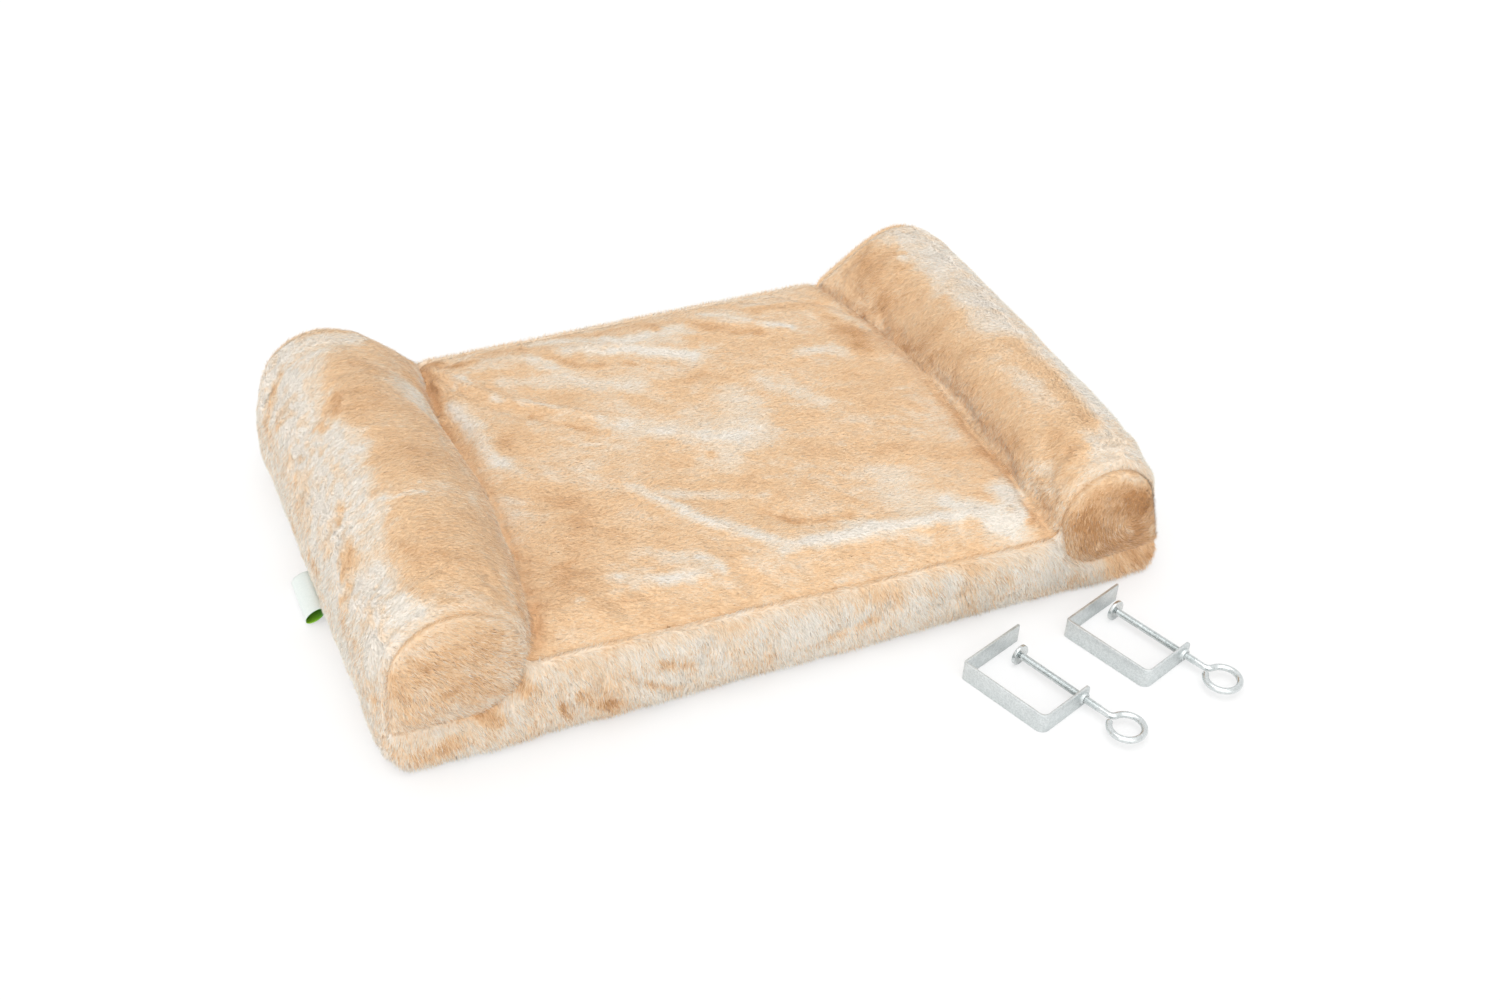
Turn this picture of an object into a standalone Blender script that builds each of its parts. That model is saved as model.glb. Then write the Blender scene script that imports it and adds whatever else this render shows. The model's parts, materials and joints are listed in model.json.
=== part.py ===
"""A window bed for a cat: a plush cover over foam and a board, with the two clamps that hold it to the sill.

X runs along the bed, -Y is its front and +Z is up. The origin is the middle of the underside.
All lengths are in metres.
"""
import math

import bmesh
import bpy
from mathutils import Matrix, Vector

# Overall sizes of the bed
bed_length = 0.550
bed_width = 0.350
seat_height = 0.058
seat_crown = 0.004
seat_lean = 0.010  # the front edge is this much higher at the left end and lower at the right end

# Rolls at the two ends: radius, and rise of the axis over the seat, at the front, the middle and the rear
left_radius_front = 0.0455
left_radius_middle = 0.0535
left_radius_rear = 0.0445
left_rise_front = 0.0125
left_rise_middle = 0.0060
left_rise_rear = 0.0005
right_radius_front = 0.0420
right_radius_middle = 0.0435
right_radius_rear = 0.0420
right_rise_front = 0.0040
right_rise_middle = -0.0005
right_rise_rear = -0.0035
left_rest = 0.028  # height of the roll's underside
right_rest = 0.017
roll_inset = 0.002  # from the end wall to the side of the roll

# The front end of the right roll tapers, and lies further in and lower
taper_width = 0.060
taper_radius = 0.0035
taper_pull = 0.014
taper_sink = 0.006

# Crease between the seat and a roll. Towards the rear the cover bridges it.
crease_depth = 0.008
crease_width = 0.014
bridge_start = 0.030
bridge_reach = 0.033
bridge_angle = math.radians(115)

# Cover: every panel is one thickness of plush, and the caps and bands close its two long sides
cover_thickness = 0.003
piece_gap = 0.0003
foam_gap = 0.0005
foot_round = 0.010
seam_setback = 0.0105  # from the front or rear of the bed back to the seams of the caps and bands
edge_width = 0.024
edge_draw = 0.0035  # how far the cover is drawn in at those seams
corner_round = 0.018
top_round = 0.013
bottom_thickness = 0.002

# Board under the foam
board_thickness = 0.009
board_corner = 0.012

# Zip in the rear band
zip_length = 0.330
zip_height = 0.022
tape_width = 0.019
tape_thickness = 0.0006
chain_width = 0.005
chain_thickness = 0.0015
stop_length = 0.003
stop_overhang = 0.0008
slider_length = 0.012
slider_width = 0.009
slider_thickness = 0.0022
slider_corner = 0.0016
bridge_length = 0.0085
bridge_width = 0.002
bridge_bar = 0.0012
pull_length = 0.024
pull_width = 0.0075
pull_thickness = 0.0012
pull_arm = 0.0021
pull_window = 0.0046
pull_play = 0.0004
slider_rest = 0.007  # from the closed end of the chain to the slider's middle

# Label: a ribbon loop sewn into the left foot seam
label_width = 0.040
label_middle = -0.002
label_reach = 0.0125
label_height = 0.0085
label_thickness = 0.0005
label_seam_height = 0.0105
label_droop = 0.0050
label_fullness = 0.8  # under 1 the loop is blunter than an ellipse

# Clamps: a bent steel strip on edge, a disc on an eye screw's end, and the screw's collar in the near jaw
strip_width = 0.0145
strip_thickness = 0.002
far_jaw = 0.055
near_jaw = 0.0455
spine = 0.0685
far_bend = 0.0006
near_bend = 0.004
tip_corner = 0.003
screw_offset = 0.0395  # from the back of the spine to the screw's axis
collar_radius = 0.0043
collar_end_radius = 0.0039
collar_length = 0.002
thread_radius = 0.0025
thread_clearance = 0.0002
thread_length = 0.068
wire_radius = 0.0022
disc_radius = 0.00725
disc_thickness = 0.0024
disc_recess_radius = 0.0037
disc_recess_depth = 0.0013
rivet_radius = 0.0031
rivet_height = 0.0008
neck_radius = 0.0016
eye_radius = 0.0112
eye_bend = 0.005
eye_distance = 0.0885  # from the disc's face to the middle of the eye
eye_opening = math.radians(22)
clamp_turn = math.radians(-70)  # direction of the spine and screw, seen from above

# Each clamp: its far jaw's outer corner, from the bed's middle and from its front, and its throat's gap
clamp_places = (
    ("clamp_1", 0.0905, 0.0440, 0.0125),
    ("clamp_2", 0.1740, 0.0330, 0.0090),
)

# Stations across the bed's width and along its length, as shares
across_share = (-1, -0.985, -0.95, -0.88, -0.6, -0.2, 0.2, 0.5, 0.72, 0.88, 0.95, 0.985, 1)
seat_share = (0, 0.008, 0.02, 0.038, 0.12, 0.32, 0.5, 0.68, 0.88, 0.962, 0.98, 0.992, 1)
band_share = (0, 0.07, 0.2, 0.5, 0.74, 0.9, 1)
cap_share = (1, 0.93, 0.76, 0.42)
corner_share = (1, 0.8, 0.4)
foot_share = 0.2
flank_steps = 5
top_steps = 10
under_steps = 5
foot_steps = 3
round_sides = 24
rod_sides = 14
eye_steps = 22
bend_steps = 4

half_length = bed_length / 2
half_width = bed_width / 2
seam_y = half_width - seam_setback
slider_start = zip_length / 2 - slider_rest
roll_rest = {-1: left_rest, 1: right_rest}
board_bottom = bottom_thickness + piece_gap
foam_bottom = board_bottom + board_thickness + piece_gap
end_names = {-1: "front", 1: "rear"}
side_names = {-1: "left", 1: "right"}


def clear_scene():
    for item in list(bpy.data.objects):
        bpy.data.objects.remove(item, do_unlink=True)


def material(name, colour, roughness, metallic=0.0):
    """A plain Principled material of one colour."""
    made = bpy.data.materials.new(name)
    made.use_nodes = True
    shader = made.node_tree.nodes["Principled BSDF"]
    shader.inputs["Base Color"].default_value = (*colour, 1)
    shader.inputs["Roughness"].default_value = roughness
    shader.inputs["Metallic"].default_value = metallic
    return made


def new_object(name, mesh, finish):
    made = bpy.data.objects.new(name, mesh)
    made.data.materials.append(finish)
    bpy.context.scene.collection.objects.link(made)
    return made


def object_from(name, shape, finish, smooth_angle=None):
    """An object from a bmesh, its faces turned outwards."""
    bmesh.ops.remove_doubles(shape, verts=shape.verts, dist=0)
    bmesh.ops.recalc_face_normals(shape, faces=shape.faces)
    mesh = bpy.data.meshes.new(name)
    shape.to_mesh(mesh)
    shape.free()
    if smooth_angle is not None:
        mesh.shade_smooth()
        mesh.set_sharp_from_angle(angle=smooth_angle)
    return new_object(name, mesh, finish)


def rounding(share):
    """0 up to a share of 0, then a quarter round that reaches 1 where the share is 1."""
    share = min(max(share, 0), 1)
    return 1 - math.sqrt(1 - share * share)


def two_triangles(shape, corners, turned=False):
    """A four-cornered face as two triangles, cut from its first corner or, if turned, from its second."""
    start = 1 if turned else 0
    a, b, c, d = corners[start:] + corners[:start]
    shape.faces.new((a, b, c))
    shape.faces.new((a, c, d))


def closed_sheet(name, outer, inner, finish, mirrored=False, smooth_angle=math.radians(40)):
    """One closed body between two grids of points that have the same rows and columns.

    The cuts across its faces run the other way in the right half of a mirrored sheet, as its neighbours' do.
    """
    shape = bmesh.new()
    grids = [[[shape.verts.new(point) for point in row] for row in grid] for grid in (outer, inner)]
    rows, columns = len(outer), len(outer[0])
    for grid in grids:
        for row, after in zip(grid, grid[1:]):
            for column in range(columns - 1):
                turned = mirrored and column >= columns // 2
                two_triangles(shape, (row[column], row[column + 1], after[column + 1], after[column]), turned)
    loops = []
    for grid in grids:
        loop = list(grid[0]) + [grid[row][-1] for row in range(1, rows)]
        loop += grid[-1][-2::-1] + [grid[row][0] for row in range(rows - 2, 0, -1)]
        loops.append(loop)
    for index in range(len(loops[0])):
        after = (index + 1) % len(loops[0])
        shape.faces.new((loops[0][index], loops[0][after], loops[1][after], loops[1][index]))
    return object_from(name, shape, finish, smooth_angle)


def prism(name, outline, lift, finish, smooth_angle=None, bevel=None):
    """A flat outline of 3-D points pushed along the vector lift."""
    shape = bmesh.new()
    base = shape.faces.new([shape.verts.new(point) for point in outline])
    grown = bmesh.ops.extrude_face_region(shape, geom=[base])
    tops = [part for part in grown["geom"] if isinstance(part, bmesh.types.BMVert)]
    bmesh.ops.translate(shape, verts=tops, vec=Vector(lift))
    made = object_from(name, shape, finish, smooth_angle)
    if bevel:
        edge = made.modifiers.new("soft edges", "BEVEL")
        edge.width = bevel
        edge.segments = 2
        edge.limit_method = "ANGLE"
    return made


def rounded_rectangle(half_x, half_y, corner, steps=4):
    """Corner points of a rectangle with round corners, anticlockwise, as pairs."""
    points = []
    for quarter, (sign_x, sign_y) in enumerate(((1, 1), (-1, 1), (-1, -1), (1, -1))):
        for step in range(steps + 1):
            angle = math.radians(90) * (quarter + step / steps)
            points.append((sign_x * (half_x - corner) + corner * math.cos(angle),
                           sign_y * (half_y - corner) + corner * math.sin(angle)))
    return points


# Shape of the bed's cover, as functions of the place


def front_share(y):
    return 0.5 - y / bed_width


def through_three(front, middle, rear, y):
    """Value at y of the parabola through the front, the middle and the rear of the bed."""
    along = y / half_width
    return middle + (rear - front) / 2 * along + ((rear + front) / 2 - middle) * along * along


def taper_share(side, y):
    """1 at the very front of the right roll, 0 from taper_width on and on the left roll."""
    return max(1 - (half_width + y) / taper_width, 0) ** 2 if side > 0 else 0


def radius_at(side, y):
    if side < 0:
        return through_three(left_radius_front, left_radius_middle, left_radius_rear, y)
    full = through_three(right_radius_front, right_radius_middle, right_radius_rear, y)
    return full - taper_radius * taper_share(side, y)


def axis_height(side, y):
    if side < 0:
        return seat_height + through_three(left_rise_front, left_rise_middle, left_rise_rear, y)
    rise = through_three(right_rise_front, right_rise_middle, right_rise_rear, y)
    return seat_height + rise - taper_sink * taper_share(side, y)


def axis_x(side, y):
    """Distance of the roll's axis from the bed's middle."""
    return half_length - roll_inset - taper_pull * taper_share(side, y) - radius_at(side, y)


def end_inset(y):
    """How far the cover is drawn in near its front and rear seams."""
    return edge_draw * rounding((abs(y) - seam_y + edge_width) / edge_width)


def bridge_share(y):
    """How much of the crease the cover bridges: 0 up to bridge_start and 1 at the rear."""
    return (max(y - bridge_start, 0) / (half_width - bridge_start)) ** 2


def seat_level(x, y):
    """Top of the seat before its edges are drawn in."""
    crown = seat_crown * (1 - (y / half_width) ** 4)
    return seat_height + crown - seat_lean * (x / half_length) * front_share(y)


def depth_at(y):
    return crease_depth * (1 - bridge_share(y))


def on_roll(side, y, angle, inset):
    """Point of the roll's section, its angle from the outer side over the top. The lower half is flatter."""
    radius = radius_at(side, y) - inset
    height = axis_height(side, y)
    upright = radius if math.sin(angle) > 0 else height - roll_rest[side] - inset
    return side * (axis_x(side, y) + radius * math.cos(angle)), height + upright * math.sin(angle)


def crease_angle(side, y):
    """Angle on the roll where the seat would meet it with no bridge, at the roll's widest or below it."""
    inset = end_inset(y)
    meeting = seat_level(side * (axis_x(side, y) - radius_at(side, y)), y) - inset - depth_at(y)
    below = max(axis_height(side, y) - meeting, 0)
    return math.pi + math.asin(below / (axis_height(side, y) - roll_rest[side] - inset))


def shoulder_angle(side, y):
    """Angle where the end wall leaves the roll, on a straight line to the wall's lower part."""
    inset = end_inset(y)
    out = half_length - inset - axis_x(side, y)
    down = roll_rest[side] + inset - axis_height(side, y)
    return math.atan2(down, out) + math.acos(min((radius_at(side, y) - inset) / math.hypot(out, down), 1))


def crease_point(side, y, inset):
    x, z = on_roll(side, y, crease_angle(side, y), inset)
    return x - side * bridge_reach * bridge_share(y), z


def over_roll(side, y, inset):
    """Points from the crease up the inner flank and over the roll to its shoulder."""
    crease, shoulder = crease_angle(side, y), shoulder_angle(side, y)
    points = []
    for step in range(flank_steps):
        share = step / flank_steps
        x, z = on_roll(side, y, crease + (bridge_angle - crease) * share, inset)
        points.append((x - side * bridge_reach * bridge_share(y) * (1 - share) ** 2, z))
    for step in range(top_steps + 1):
        points.append(on_roll(side, y, bridge_angle + (shoulder - bridge_angle) * step / top_steps, inset))
    return points


def under_roll(side, y, inset):
    """Points from the roll's lowest side up its inner flank to the crease."""
    start, end = math.radians(270), crease_angle(side, y)
    points = []
    for step in range(under_steps + 1):
        share = step / under_steps
        x, z = on_roll(side, y, start + (end - start) * share, inset)
        points.append((x - side * bridge_reach * bridge_share(y) * share ** 2, z))
    return points


def foot_points(side, inset):
    """The round foot of the end wall, from the wall down to the underside."""
    points = [(side * (half_length - inset), roll_rest[side] + inset)]
    for step in range(foot_steps + 1):
        angle = -math.radians(90) * step / foot_steps
        points.append((side * (half_length - foot_round + (foot_round - inset) * math.cos(angle)),
                       foot_round + (foot_round - inset) * math.sin(angle)))
    return points


def roll_outline(side, y, inset):
    """Closed outline of a roll with its outer foot filled to the end wall."""
    wall = (side * (half_length - inset), roll_rest[side] + inset)
    return over_roll(side, y, inset) + [wall] + under_roll(side, y, inset)[:-1]


def crease_drop(distance, y):
    return depth_at(y) * max(1 - distance / crease_width, 0) ** 2


# Materials: plain stand-ins for the finishes
plush = material("plush", (0.80, 0.62, 0.42), 0.9)
lining = material("lining", (0.70, 0.62, 0.50), 0.9)
foam = material("foam", (0.86, 0.82, 0.66), 0.95)
wood = material("wood", (0.62, 0.45, 0.27), 0.7)
ribbon = material("ribbon", (0.88, 0.90, 0.86), 0.6)
zip_cloth = material("zip_cloth", (0.72, 0.58, 0.42), 0.8)
zip_metal = material("zip_metal", (0.55, 0.50, 0.42), 0.35, 1.0)
zinc = material("zinc", (0.66, 0.69, 0.70), 0.3, 1.0)


# Cover


def make_roll_cover(side):
    """Plush from the crease over the roll, down the end wall and round the foot."""
    def grid(extra):
        rows = []
        for share in across_share:
            y = seam_y * share
            inset = end_inset(y) + extra
            points = over_roll(side, y, inset) + foot_points(side, inset)
            rows.append([(x, y, z) for x, z in points])
        return rows
    return closed_sheet(f"{side_names[side]}_roll_cover", grid(0.0), grid(cover_thickness), plush)


def seat_edges(y):
    """The seat's two ends at y, each one gap short of its roll."""
    left, right = [crease_point(side, y, end_inset(y))[0] for side in (-1, 1)]
    return left + piece_gap, right - piece_gap


def seat_height_at(x, y, edges):
    distance = min(x - edges[0], edges[1] - x)
    return seat_level(x, y) - end_inset(y) - crease_drop(distance, y)


def make_seat_cover():
    outer, inner = [], []
    for share in across_share:
        y = seam_y * share
        edges = seat_edges(y)
        stations = [edges[0] + (edges[1] - edges[0]) * along for along in seat_share]
        heights = [seat_height_at(x, y, edges) for x in stations]
        outer.append([(x, y, z) for x, z in zip(stations, heights)])
        inner.append([(x, y, z - cover_thickness) for x, z in zip(stations, heights)])
    return closed_sheet("seat_cover", outer, inner, plush, mirrored=True)


def lid_depth(fullness):
    """Outer y of a cap or band, from its rim (fullness 0) to its middle (fullness 1)."""
    rim = seam_y + piece_gap + cover_thickness
    return rim + (half_width - rim) * fullness


def make_cap(side, end):
    """Round end panel of a roll, domed from its seam."""
    y = end * seam_y
    outline = roll_outline(side, y, end_inset(y))
    middle = (side * axis_x(side, y), axis_height(side, y))
    shape = bmesh.new()
    surfaces = []
    for back in (0.0, cover_thickness):
        rings = []
        for share in cap_share:
            depth = end * (lid_depth(math.sqrt(1 - share * share)) - back)
            ring = [shape.verts.new((middle[0] + (x - middle[0]) * share, depth,
                                     middle[1] + (z - middle[1]) * share)) for x, z in outline]
            rings.append(ring)
        tip = shape.verts.new((middle[0], end * (lid_depth(1.0) - back), middle[1]))
        count = len(outline)
        for ring, smaller in zip(rings, rings[1:]):
            for index in range(count):
                after = (index + 1) % count
                shape.faces.new((ring[index], ring[after], smaller[after], smaller[index]))
        for index in range(count):
            shape.faces.new((rings[-1][index], rings[-1][(index + 1) % count], tip))
        surfaces.append(rings[0])
    for index in range(len(outline)):
        after = (index + 1) % len(outline)
        shape.faces.new((surfaces[0][index], surfaces[0][after], surfaces[1][after], surfaces[1][index]))
    name = f"{end_names[end]}_{side_names[side]}_cap"
    return object_from(name, shape, plush, math.radians(50))


def mattress_top(y, cradle_inset, seat_drop):
    """Upper edge of the mattress at y, from end wall to end wall, as pairs of x and height.

    It runs flat under the outer half of each roll, follows the roll up to the crease and crosses the seat.
    """
    sides = {}
    for side in (-1, 1):
        under = under_roll(side, y, cradle_inset)[:-1]
        wall = side * (half_length - cradle_inset)
        flat = [(wall + (under[0][0] - wall) * (1 - share), under[0][1]) for share in corner_share]
        sides[side] = flat + under
    edges = seat_edges(y)
    middle = []
    for along in seat_share:
        x = edges[0] + (edges[1] - edges[0]) * along
        middle.append((x, seat_height_at(x, y, edges) - seat_drop))
    return sides[-1] + middle + sides[1][::-1]


def make_band(end):
    """Plush strip under the caps, from the underside up to the seat, rounded towards its seams."""
    y = end * seam_y
    top = mattress_top(y, end_inset(y) - piece_gap, piece_gap)
    wall = half_length - edge_draw
    outer, inner = [], []
    for x, top_z in top:
        to_corner = (abs(x) - wall + corner_round) / corner_round
        bottom_z = foot_round * rounding(to_corner)
        outer_row, inner_row = [], []
        for share in band_share:
            z = bottom_z + (top_z - bottom_z) * share
            rim = max((z - top_z + top_round) / top_round, (foot_share - share) / foot_share, 0)
            fullness = math.sqrt(max(0, 1 - rim * rim - max(to_corner, 0) ** 2))
            depth = lid_depth(fullness)
            outer_row.append((x, end * depth, z))
            inner_row.append((x, end * (depth - cover_thickness), z))
        outer.append(outer_row)
        inner.append(inner_row)
    return closed_sheet(f"{end_names[end]}_band", outer, inner, plush, mirrored=True,
                        smooth_angle=math.radians(50))


def make_bottom_panel():
    points = rounded_rectangle(half_length - foot_round - piece_gap, half_width - foot_round - piece_gap,
                               board_corner)
    return prism("bottom_panel", [(x, y, 0.0) for x, y in points], (0, 0, bottom_thickness), lining)


# Inside the cover


def make_board():
    points = rounded_rectangle(half_length - foot_round - piece_gap, seam_y, board_corner)
    return prism("base_board", [(x, y, board_bottom) for x, y in points], (0, 0, board_thickness), wood)


def make_seat_foam():
    """Slab between the board and the covers, with a cradle under each roll."""
    upper, lower = [], []
    for share in across_share:
        y = seam_y * share
        cradle_inset = end_inset(y) + cover_thickness + foam_gap
        top = mattress_top(y, cradle_inset, cover_thickness + foam_gap)
        upper.append([(x, y, z) for x, z in top])
        lower.append([(x, y, foam_bottom) for x, z in top])
    return closed_sheet("seat_foam", upper, lower, foam, mirrored=True)


def make_roll_foam(side):
    shape = bmesh.new()
    rings = []
    for share in across_share:
        y = seam_y * share
        outline = roll_outline(side, y, end_inset(y) + cover_thickness + 2 * foam_gap)
        rings.append([shape.verts.new((x, y, z)) for x, z in outline])
    for ring, after in zip(rings, rings[1:]):
        for index in range(len(ring)):
            beside = (index + 1) % len(ring)
            two_triangles(shape, (ring[index], ring[beside], after[beside], after[index]))
    shape.faces.new(rings[0])
    shape.faces.new(rings[-1])
    return object_from(f"{side_names[side]}_roll_foam", shape, foam, math.radians(40))


# Zip on the rear band


def box_outline(x_low, x_high, z_low, z_high, y):
    return [(x_low, y, z_low), (x_high, y, z_low), (x_high, y, z_high), (x_low, y, z_high)]


tape_back = half_width + piece_gap
chain_back = tape_back + tape_thickness + piece_gap
slider_back = chain_back + chain_thickness + piece_gap
slider_face = slider_back + slider_thickness
pull_axis_y = slider_face + pull_play + pull_thickness / 2
bridge_top = pull_axis_y + pull_thickness / 2 + pull_play + bridge_bar


def make_zip():
    """Tape and chain of the closed zip, and a stop at each end of the chain."""
    tape_end = zip_length / 2 + stop_length + stop_overhang + piece_gap
    prism("zip_tape", box_outline(-tape_end, tape_end, zip_height - tape_width / 2,
                                  zip_height + tape_width / 2, tape_back), (0, tape_thickness, 0), zip_cloth)
    chain_low, chain_high = zip_height - chain_width / 2, zip_height + chain_width / 2
    chain = box_outline(-zip_length / 2, zip_length / 2, chain_low, chain_high, chain_back)
    prism("zip_chain", chain, (0, chain_thickness, 0), zip_cloth)
    for side in (-1, 1):
        near = side * (zip_length / 2 + piece_gap)
        low, high = sorted((near, near + side * stop_length))
        reach = chain_width / 2 + stop_overhang
        outline = box_outline(low, high, zip_height - reach, zip_height + reach, chain_back)
        prism(f"zip_{side_names[side]}_stop", outline, (0, chain_thickness, 0), zip_metal)


def make_slider():
    """Slider plate with a bridge over its middle, which holds the pull."""
    plate = rounded_rectangle(slider_length / 2, slider_width / 2, slider_corner, 3)
    outline = [(x, slider_back, z) for x, z in plate][::-1]
    body = prism("zip_slider", outline, (0, slider_thickness, 0), zip_metal)
    half = bridge_length / 2
    inner_top = bridge_top - bridge_bar
    # the bridge's foot sinks into the plate by half of its own bar
    foot = slider_face - bridge_bar / 2
    shoulder = half - bridge_bar
    arch = [(-half, foot), (-half, inner_top), (-shoulder, bridge_top), (shoulder, bridge_top),
            (half, inner_top), (half, foot), (shoulder, foot), (shoulder, inner_top),
            (-shoulder, inner_top), (-shoulder, foot)]
    outline = [(x, y, -bridge_width / 2) for x, y in arch]
    bridge = prism("slider_bridge", outline, (0, 0, bridge_width), zip_metal)
    bridge.hide_render = True
    bridge.display_type = "WIRE"
    join = body.modifiers.new("bridge", "BOOLEAN")
    join.operation = "UNION"
    join.object = bridge
    for piece in (body, bridge):
        piece.location = (slider_start, 0, zip_height)
    return body


def make_pull():
    """Flat tab whose crossbar lies under the slider's bridge. Its origin is the crossbar's axis."""
    half = pull_width / 2
    bar = pull_thickness / 2
    window = half - pull_arm
    far = bar + pull_window
    xs = (-bar, bar, far, pull_length)
    zs = (-half, -window, window, half)
    shape = bmesh.new()
    layers = [[[shape.verts.new((x, y, z)) for z in zs] for x in xs] for y in (-bar, bar)]
    for layer in layers:
        for i in range(3):
            for j in range(3):
                if (i, j) != (1, 1):
                    shape.faces.new((layer[i][j], layer[i + 1][j], layer[i + 1][j + 1], layer[i][j + 1]))
    rims = ([(0, 0), (1, 0), (2, 0), (3, 0), (3, 1), (3, 2), (3, 3), (2, 3), (1, 3), (0, 3), (0, 2), (0, 1)],
            [(1, 1), (2, 1), (2, 2), (1, 2)])
    for rim in rims:
        for (i, j), (k, m) in zip(rim, rim[1:] + rim[:1]):
            shape.faces.new((layers[0][i][j], layers[0][k][m], layers[1][k][m], layers[1][i][j]))
    made = object_from("zip_pull", shape, zip_metal)
    made.location = (slider_start, pull_axis_y, zip_height)
    return made


# Label


def make_label():
    """A folded ribbon: two layers from the seam that part and meet again in the outer fold, which droops."""
    root_x = -half_length - piece_gap
    steps = 8

    def loop(inset):
        upper, lower = [], []
        for step in range(steps + 1):
            share = step / steps
            x = root_x - inset - (label_reach - 2 * inset) * share
            centre = label_seam_height - label_droop * share
            spread = (label_height / 2) * math.sqrt(1 - (2 * share - 1) ** 2) ** label_fullness
            half = max(spread - inset, 0) + (label_thickness / 2 if step in (0, steps) and not inset else 0)
            upper.append((x, centre + half))
            lower.append((x, centre - half))
        if inset:
            return upper + lower[-2:0:-1]
        return upper + lower[::-1]

    outer, inner = loop(0.0), loop(label_thickness)
    y_low, y_high = label_middle - label_width / 2, label_middle + label_width / 2
    shape = bmesh.new()
    ends = [[[shape.verts.new((x, y, z)) for x, z in line] for line in (outer, inner)]
            for y in (y_low, y_high)]
    for line in range(2):
        low, high = ends[0][line], ends[1][line]
        for index in range(len(low)):
            after = (index + 1) % len(low)
            shape.faces.new((low[index], low[after], high[after], high[index]))
    for end in ends:
        edges = []
        for line in end:
            edges += [shape.edges.get((line[i], line[(i + 1) % len(line)])) for i in range(len(line))]
        bmesh.ops.triangle_fill(shape, edges=edges, use_beauty=True)
    return object_from("label", shape, ribbon, math.radians(50))


# Clamps, modelled with the spine along +X from the far jaw's outer face, and the jaws along +Y


def fillet(corner, before, after, radius, steps):
    """Points of a round corner between two straight runs in the plane."""
    corner, before, after = Vector(corner), Vector(before), Vector(after)
    back, on = (before - corner).normalized(), (after - corner).normalized()
    centre = corner + (back + on) * radius
    first = math.atan2(-on.y, -on.x)
    turn = math.atan2(-back.y, -back.x) - first
    turn = (turn + math.pi) % (2 * math.pi) - math.pi
    return [(centre.x + radius * math.cos(first + turn * step / steps),
             centre.y + radius * math.sin(first + turn * step / steps)) for step in range(steps + 1)]


def strip_outline():
    """Plan of the bent strip: the outer side from the far tip to the near tip, and the inner side back."""
    inside = strip_thickness
    near_inner = spine - inside
    outer = [(0, far_jaw)]
    outer += fillet((0, 0), (0, far_jaw), (spine, 0), far_bend + inside, bend_steps)
    outer += fillet((spine, 0), (0, 0), (spine, near_jaw), near_bend + inside, bend_steps)
    outer += [(spine, near_jaw)]
    inner = [(near_inner, near_jaw)]
    inner += fillet((near_inner, inside), (near_inner, near_jaw), (inside, inside), near_bend, bend_steps)
    inner += fillet((inside, inside), (near_inner, inside), (inside, far_jaw), far_bend, bend_steps)
    inner += [(inside, far_jaw)]
    return outer + inner


def lathe(shape, profile, sides):
    """Turns a profile of (along X, radius) pairs round the X axis. A radius of 0 is a pole."""
    rings = []
    for along, radius in profile:
        if radius == 0:
            rings.append([shape.verts.new((along, 0, 0))])
            continue
        rings.append([shape.verts.new((along, radius * math.cos(angle), radius * math.sin(angle)))
                      for angle in (2 * math.pi * side / sides for side in range(sides))])
    for ring, after in zip(rings, rings[1:] + rings[:1]):
        for index in range(sides):
            beside = (index + 1) % sides
            corners = [ring[index % len(ring)], ring[beside % len(ring)],
                       after[beside % len(after)], after[index % len(after)]]
            corners = list(dict.fromkeys(corners))
            if len(corners) > 2:
                shape.faces.new(corners)


def make_frame(name, place):
    """Bent strip with the screw's collar on the outside of its near jaw."""
    frame = prism(f"{name}_frame", [(x, y, 0.0) for x, y in strip_outline()], (0, 0, strip_width), zinc)
    shape = bmesh.new()
    shape.from_mesh(frame.data)
    tips = []
    bend_middle = spine / 2
    for edge in shape.edges:
        first, second = (vertex.co for vertex in edge.verts)
        across_tip = abs(first.x - second.x) > strip_thickness / 2 and abs(first.y - second.y) < piece_gap
        if across_tip and first.y > screw_offset and first.x > bend_middle:
            tips.append(edge)
    bmesh.ops.bevel(shape, geom=tips, offset=tip_corner, segments=3, affect="EDGES", profile=0.5)
    shape.to_mesh(frame.data)
    shape.free()
    frame.matrix_world = place

    collar_shape = bmesh.new()
    start = spine - strip_thickness / 2
    end = spine + collar_length
    lathe(collar_shape, [(start, 0), (start, collar_radius), (end, collar_end_radius), (end, 0)], round_sides)
    bore_shape = bmesh.new()
    bore_radius = thread_radius + thread_clearance
    bore_start, bore_end = spine - 2 * strip_thickness, spine + 2 * collar_length
    lathe(bore_shape, [(bore_start, 0), (bore_start, bore_radius), (bore_end, bore_radius), (bore_end, 0)],
          round_sides)
    helpers = (("collar", collar_shape, "UNION"), ("bore", bore_shape, "DIFFERENCE"))
    for label, helper_shape, operation in helpers:
        helper = object_from(f"{name}_{label}", helper_shape, zinc)
        helper.matrix_world = place @ Matrix.Translation((0, screw_offset, strip_width / 2))
        helper.hide_render = True
        helper.display_type = "WIRE"
        step = frame.modifiers.new(label, "BOOLEAN")
        step.operation = operation
        step.object = helper
    return frame


def make_disc(name, place):
    """Pressure disc: its flat face looks at the far jaw, and a recess in it holds the screw's rivet."""
    shape = bmesh.new()
    bore = neck_radius + thread_clearance
    profile = [(0, disc_recess_radius), (0, disc_radius), (disc_thickness, disc_radius),
               (disc_thickness, bore), (disc_recess_depth, bore), (disc_recess_depth, disc_recess_radius)]
    lathe(shape, profile, round_sides)
    disc = object_from(f"{name}_disc", shape, zinc, math.radians(30))
    disc.matrix_world = place
    return disc


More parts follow.
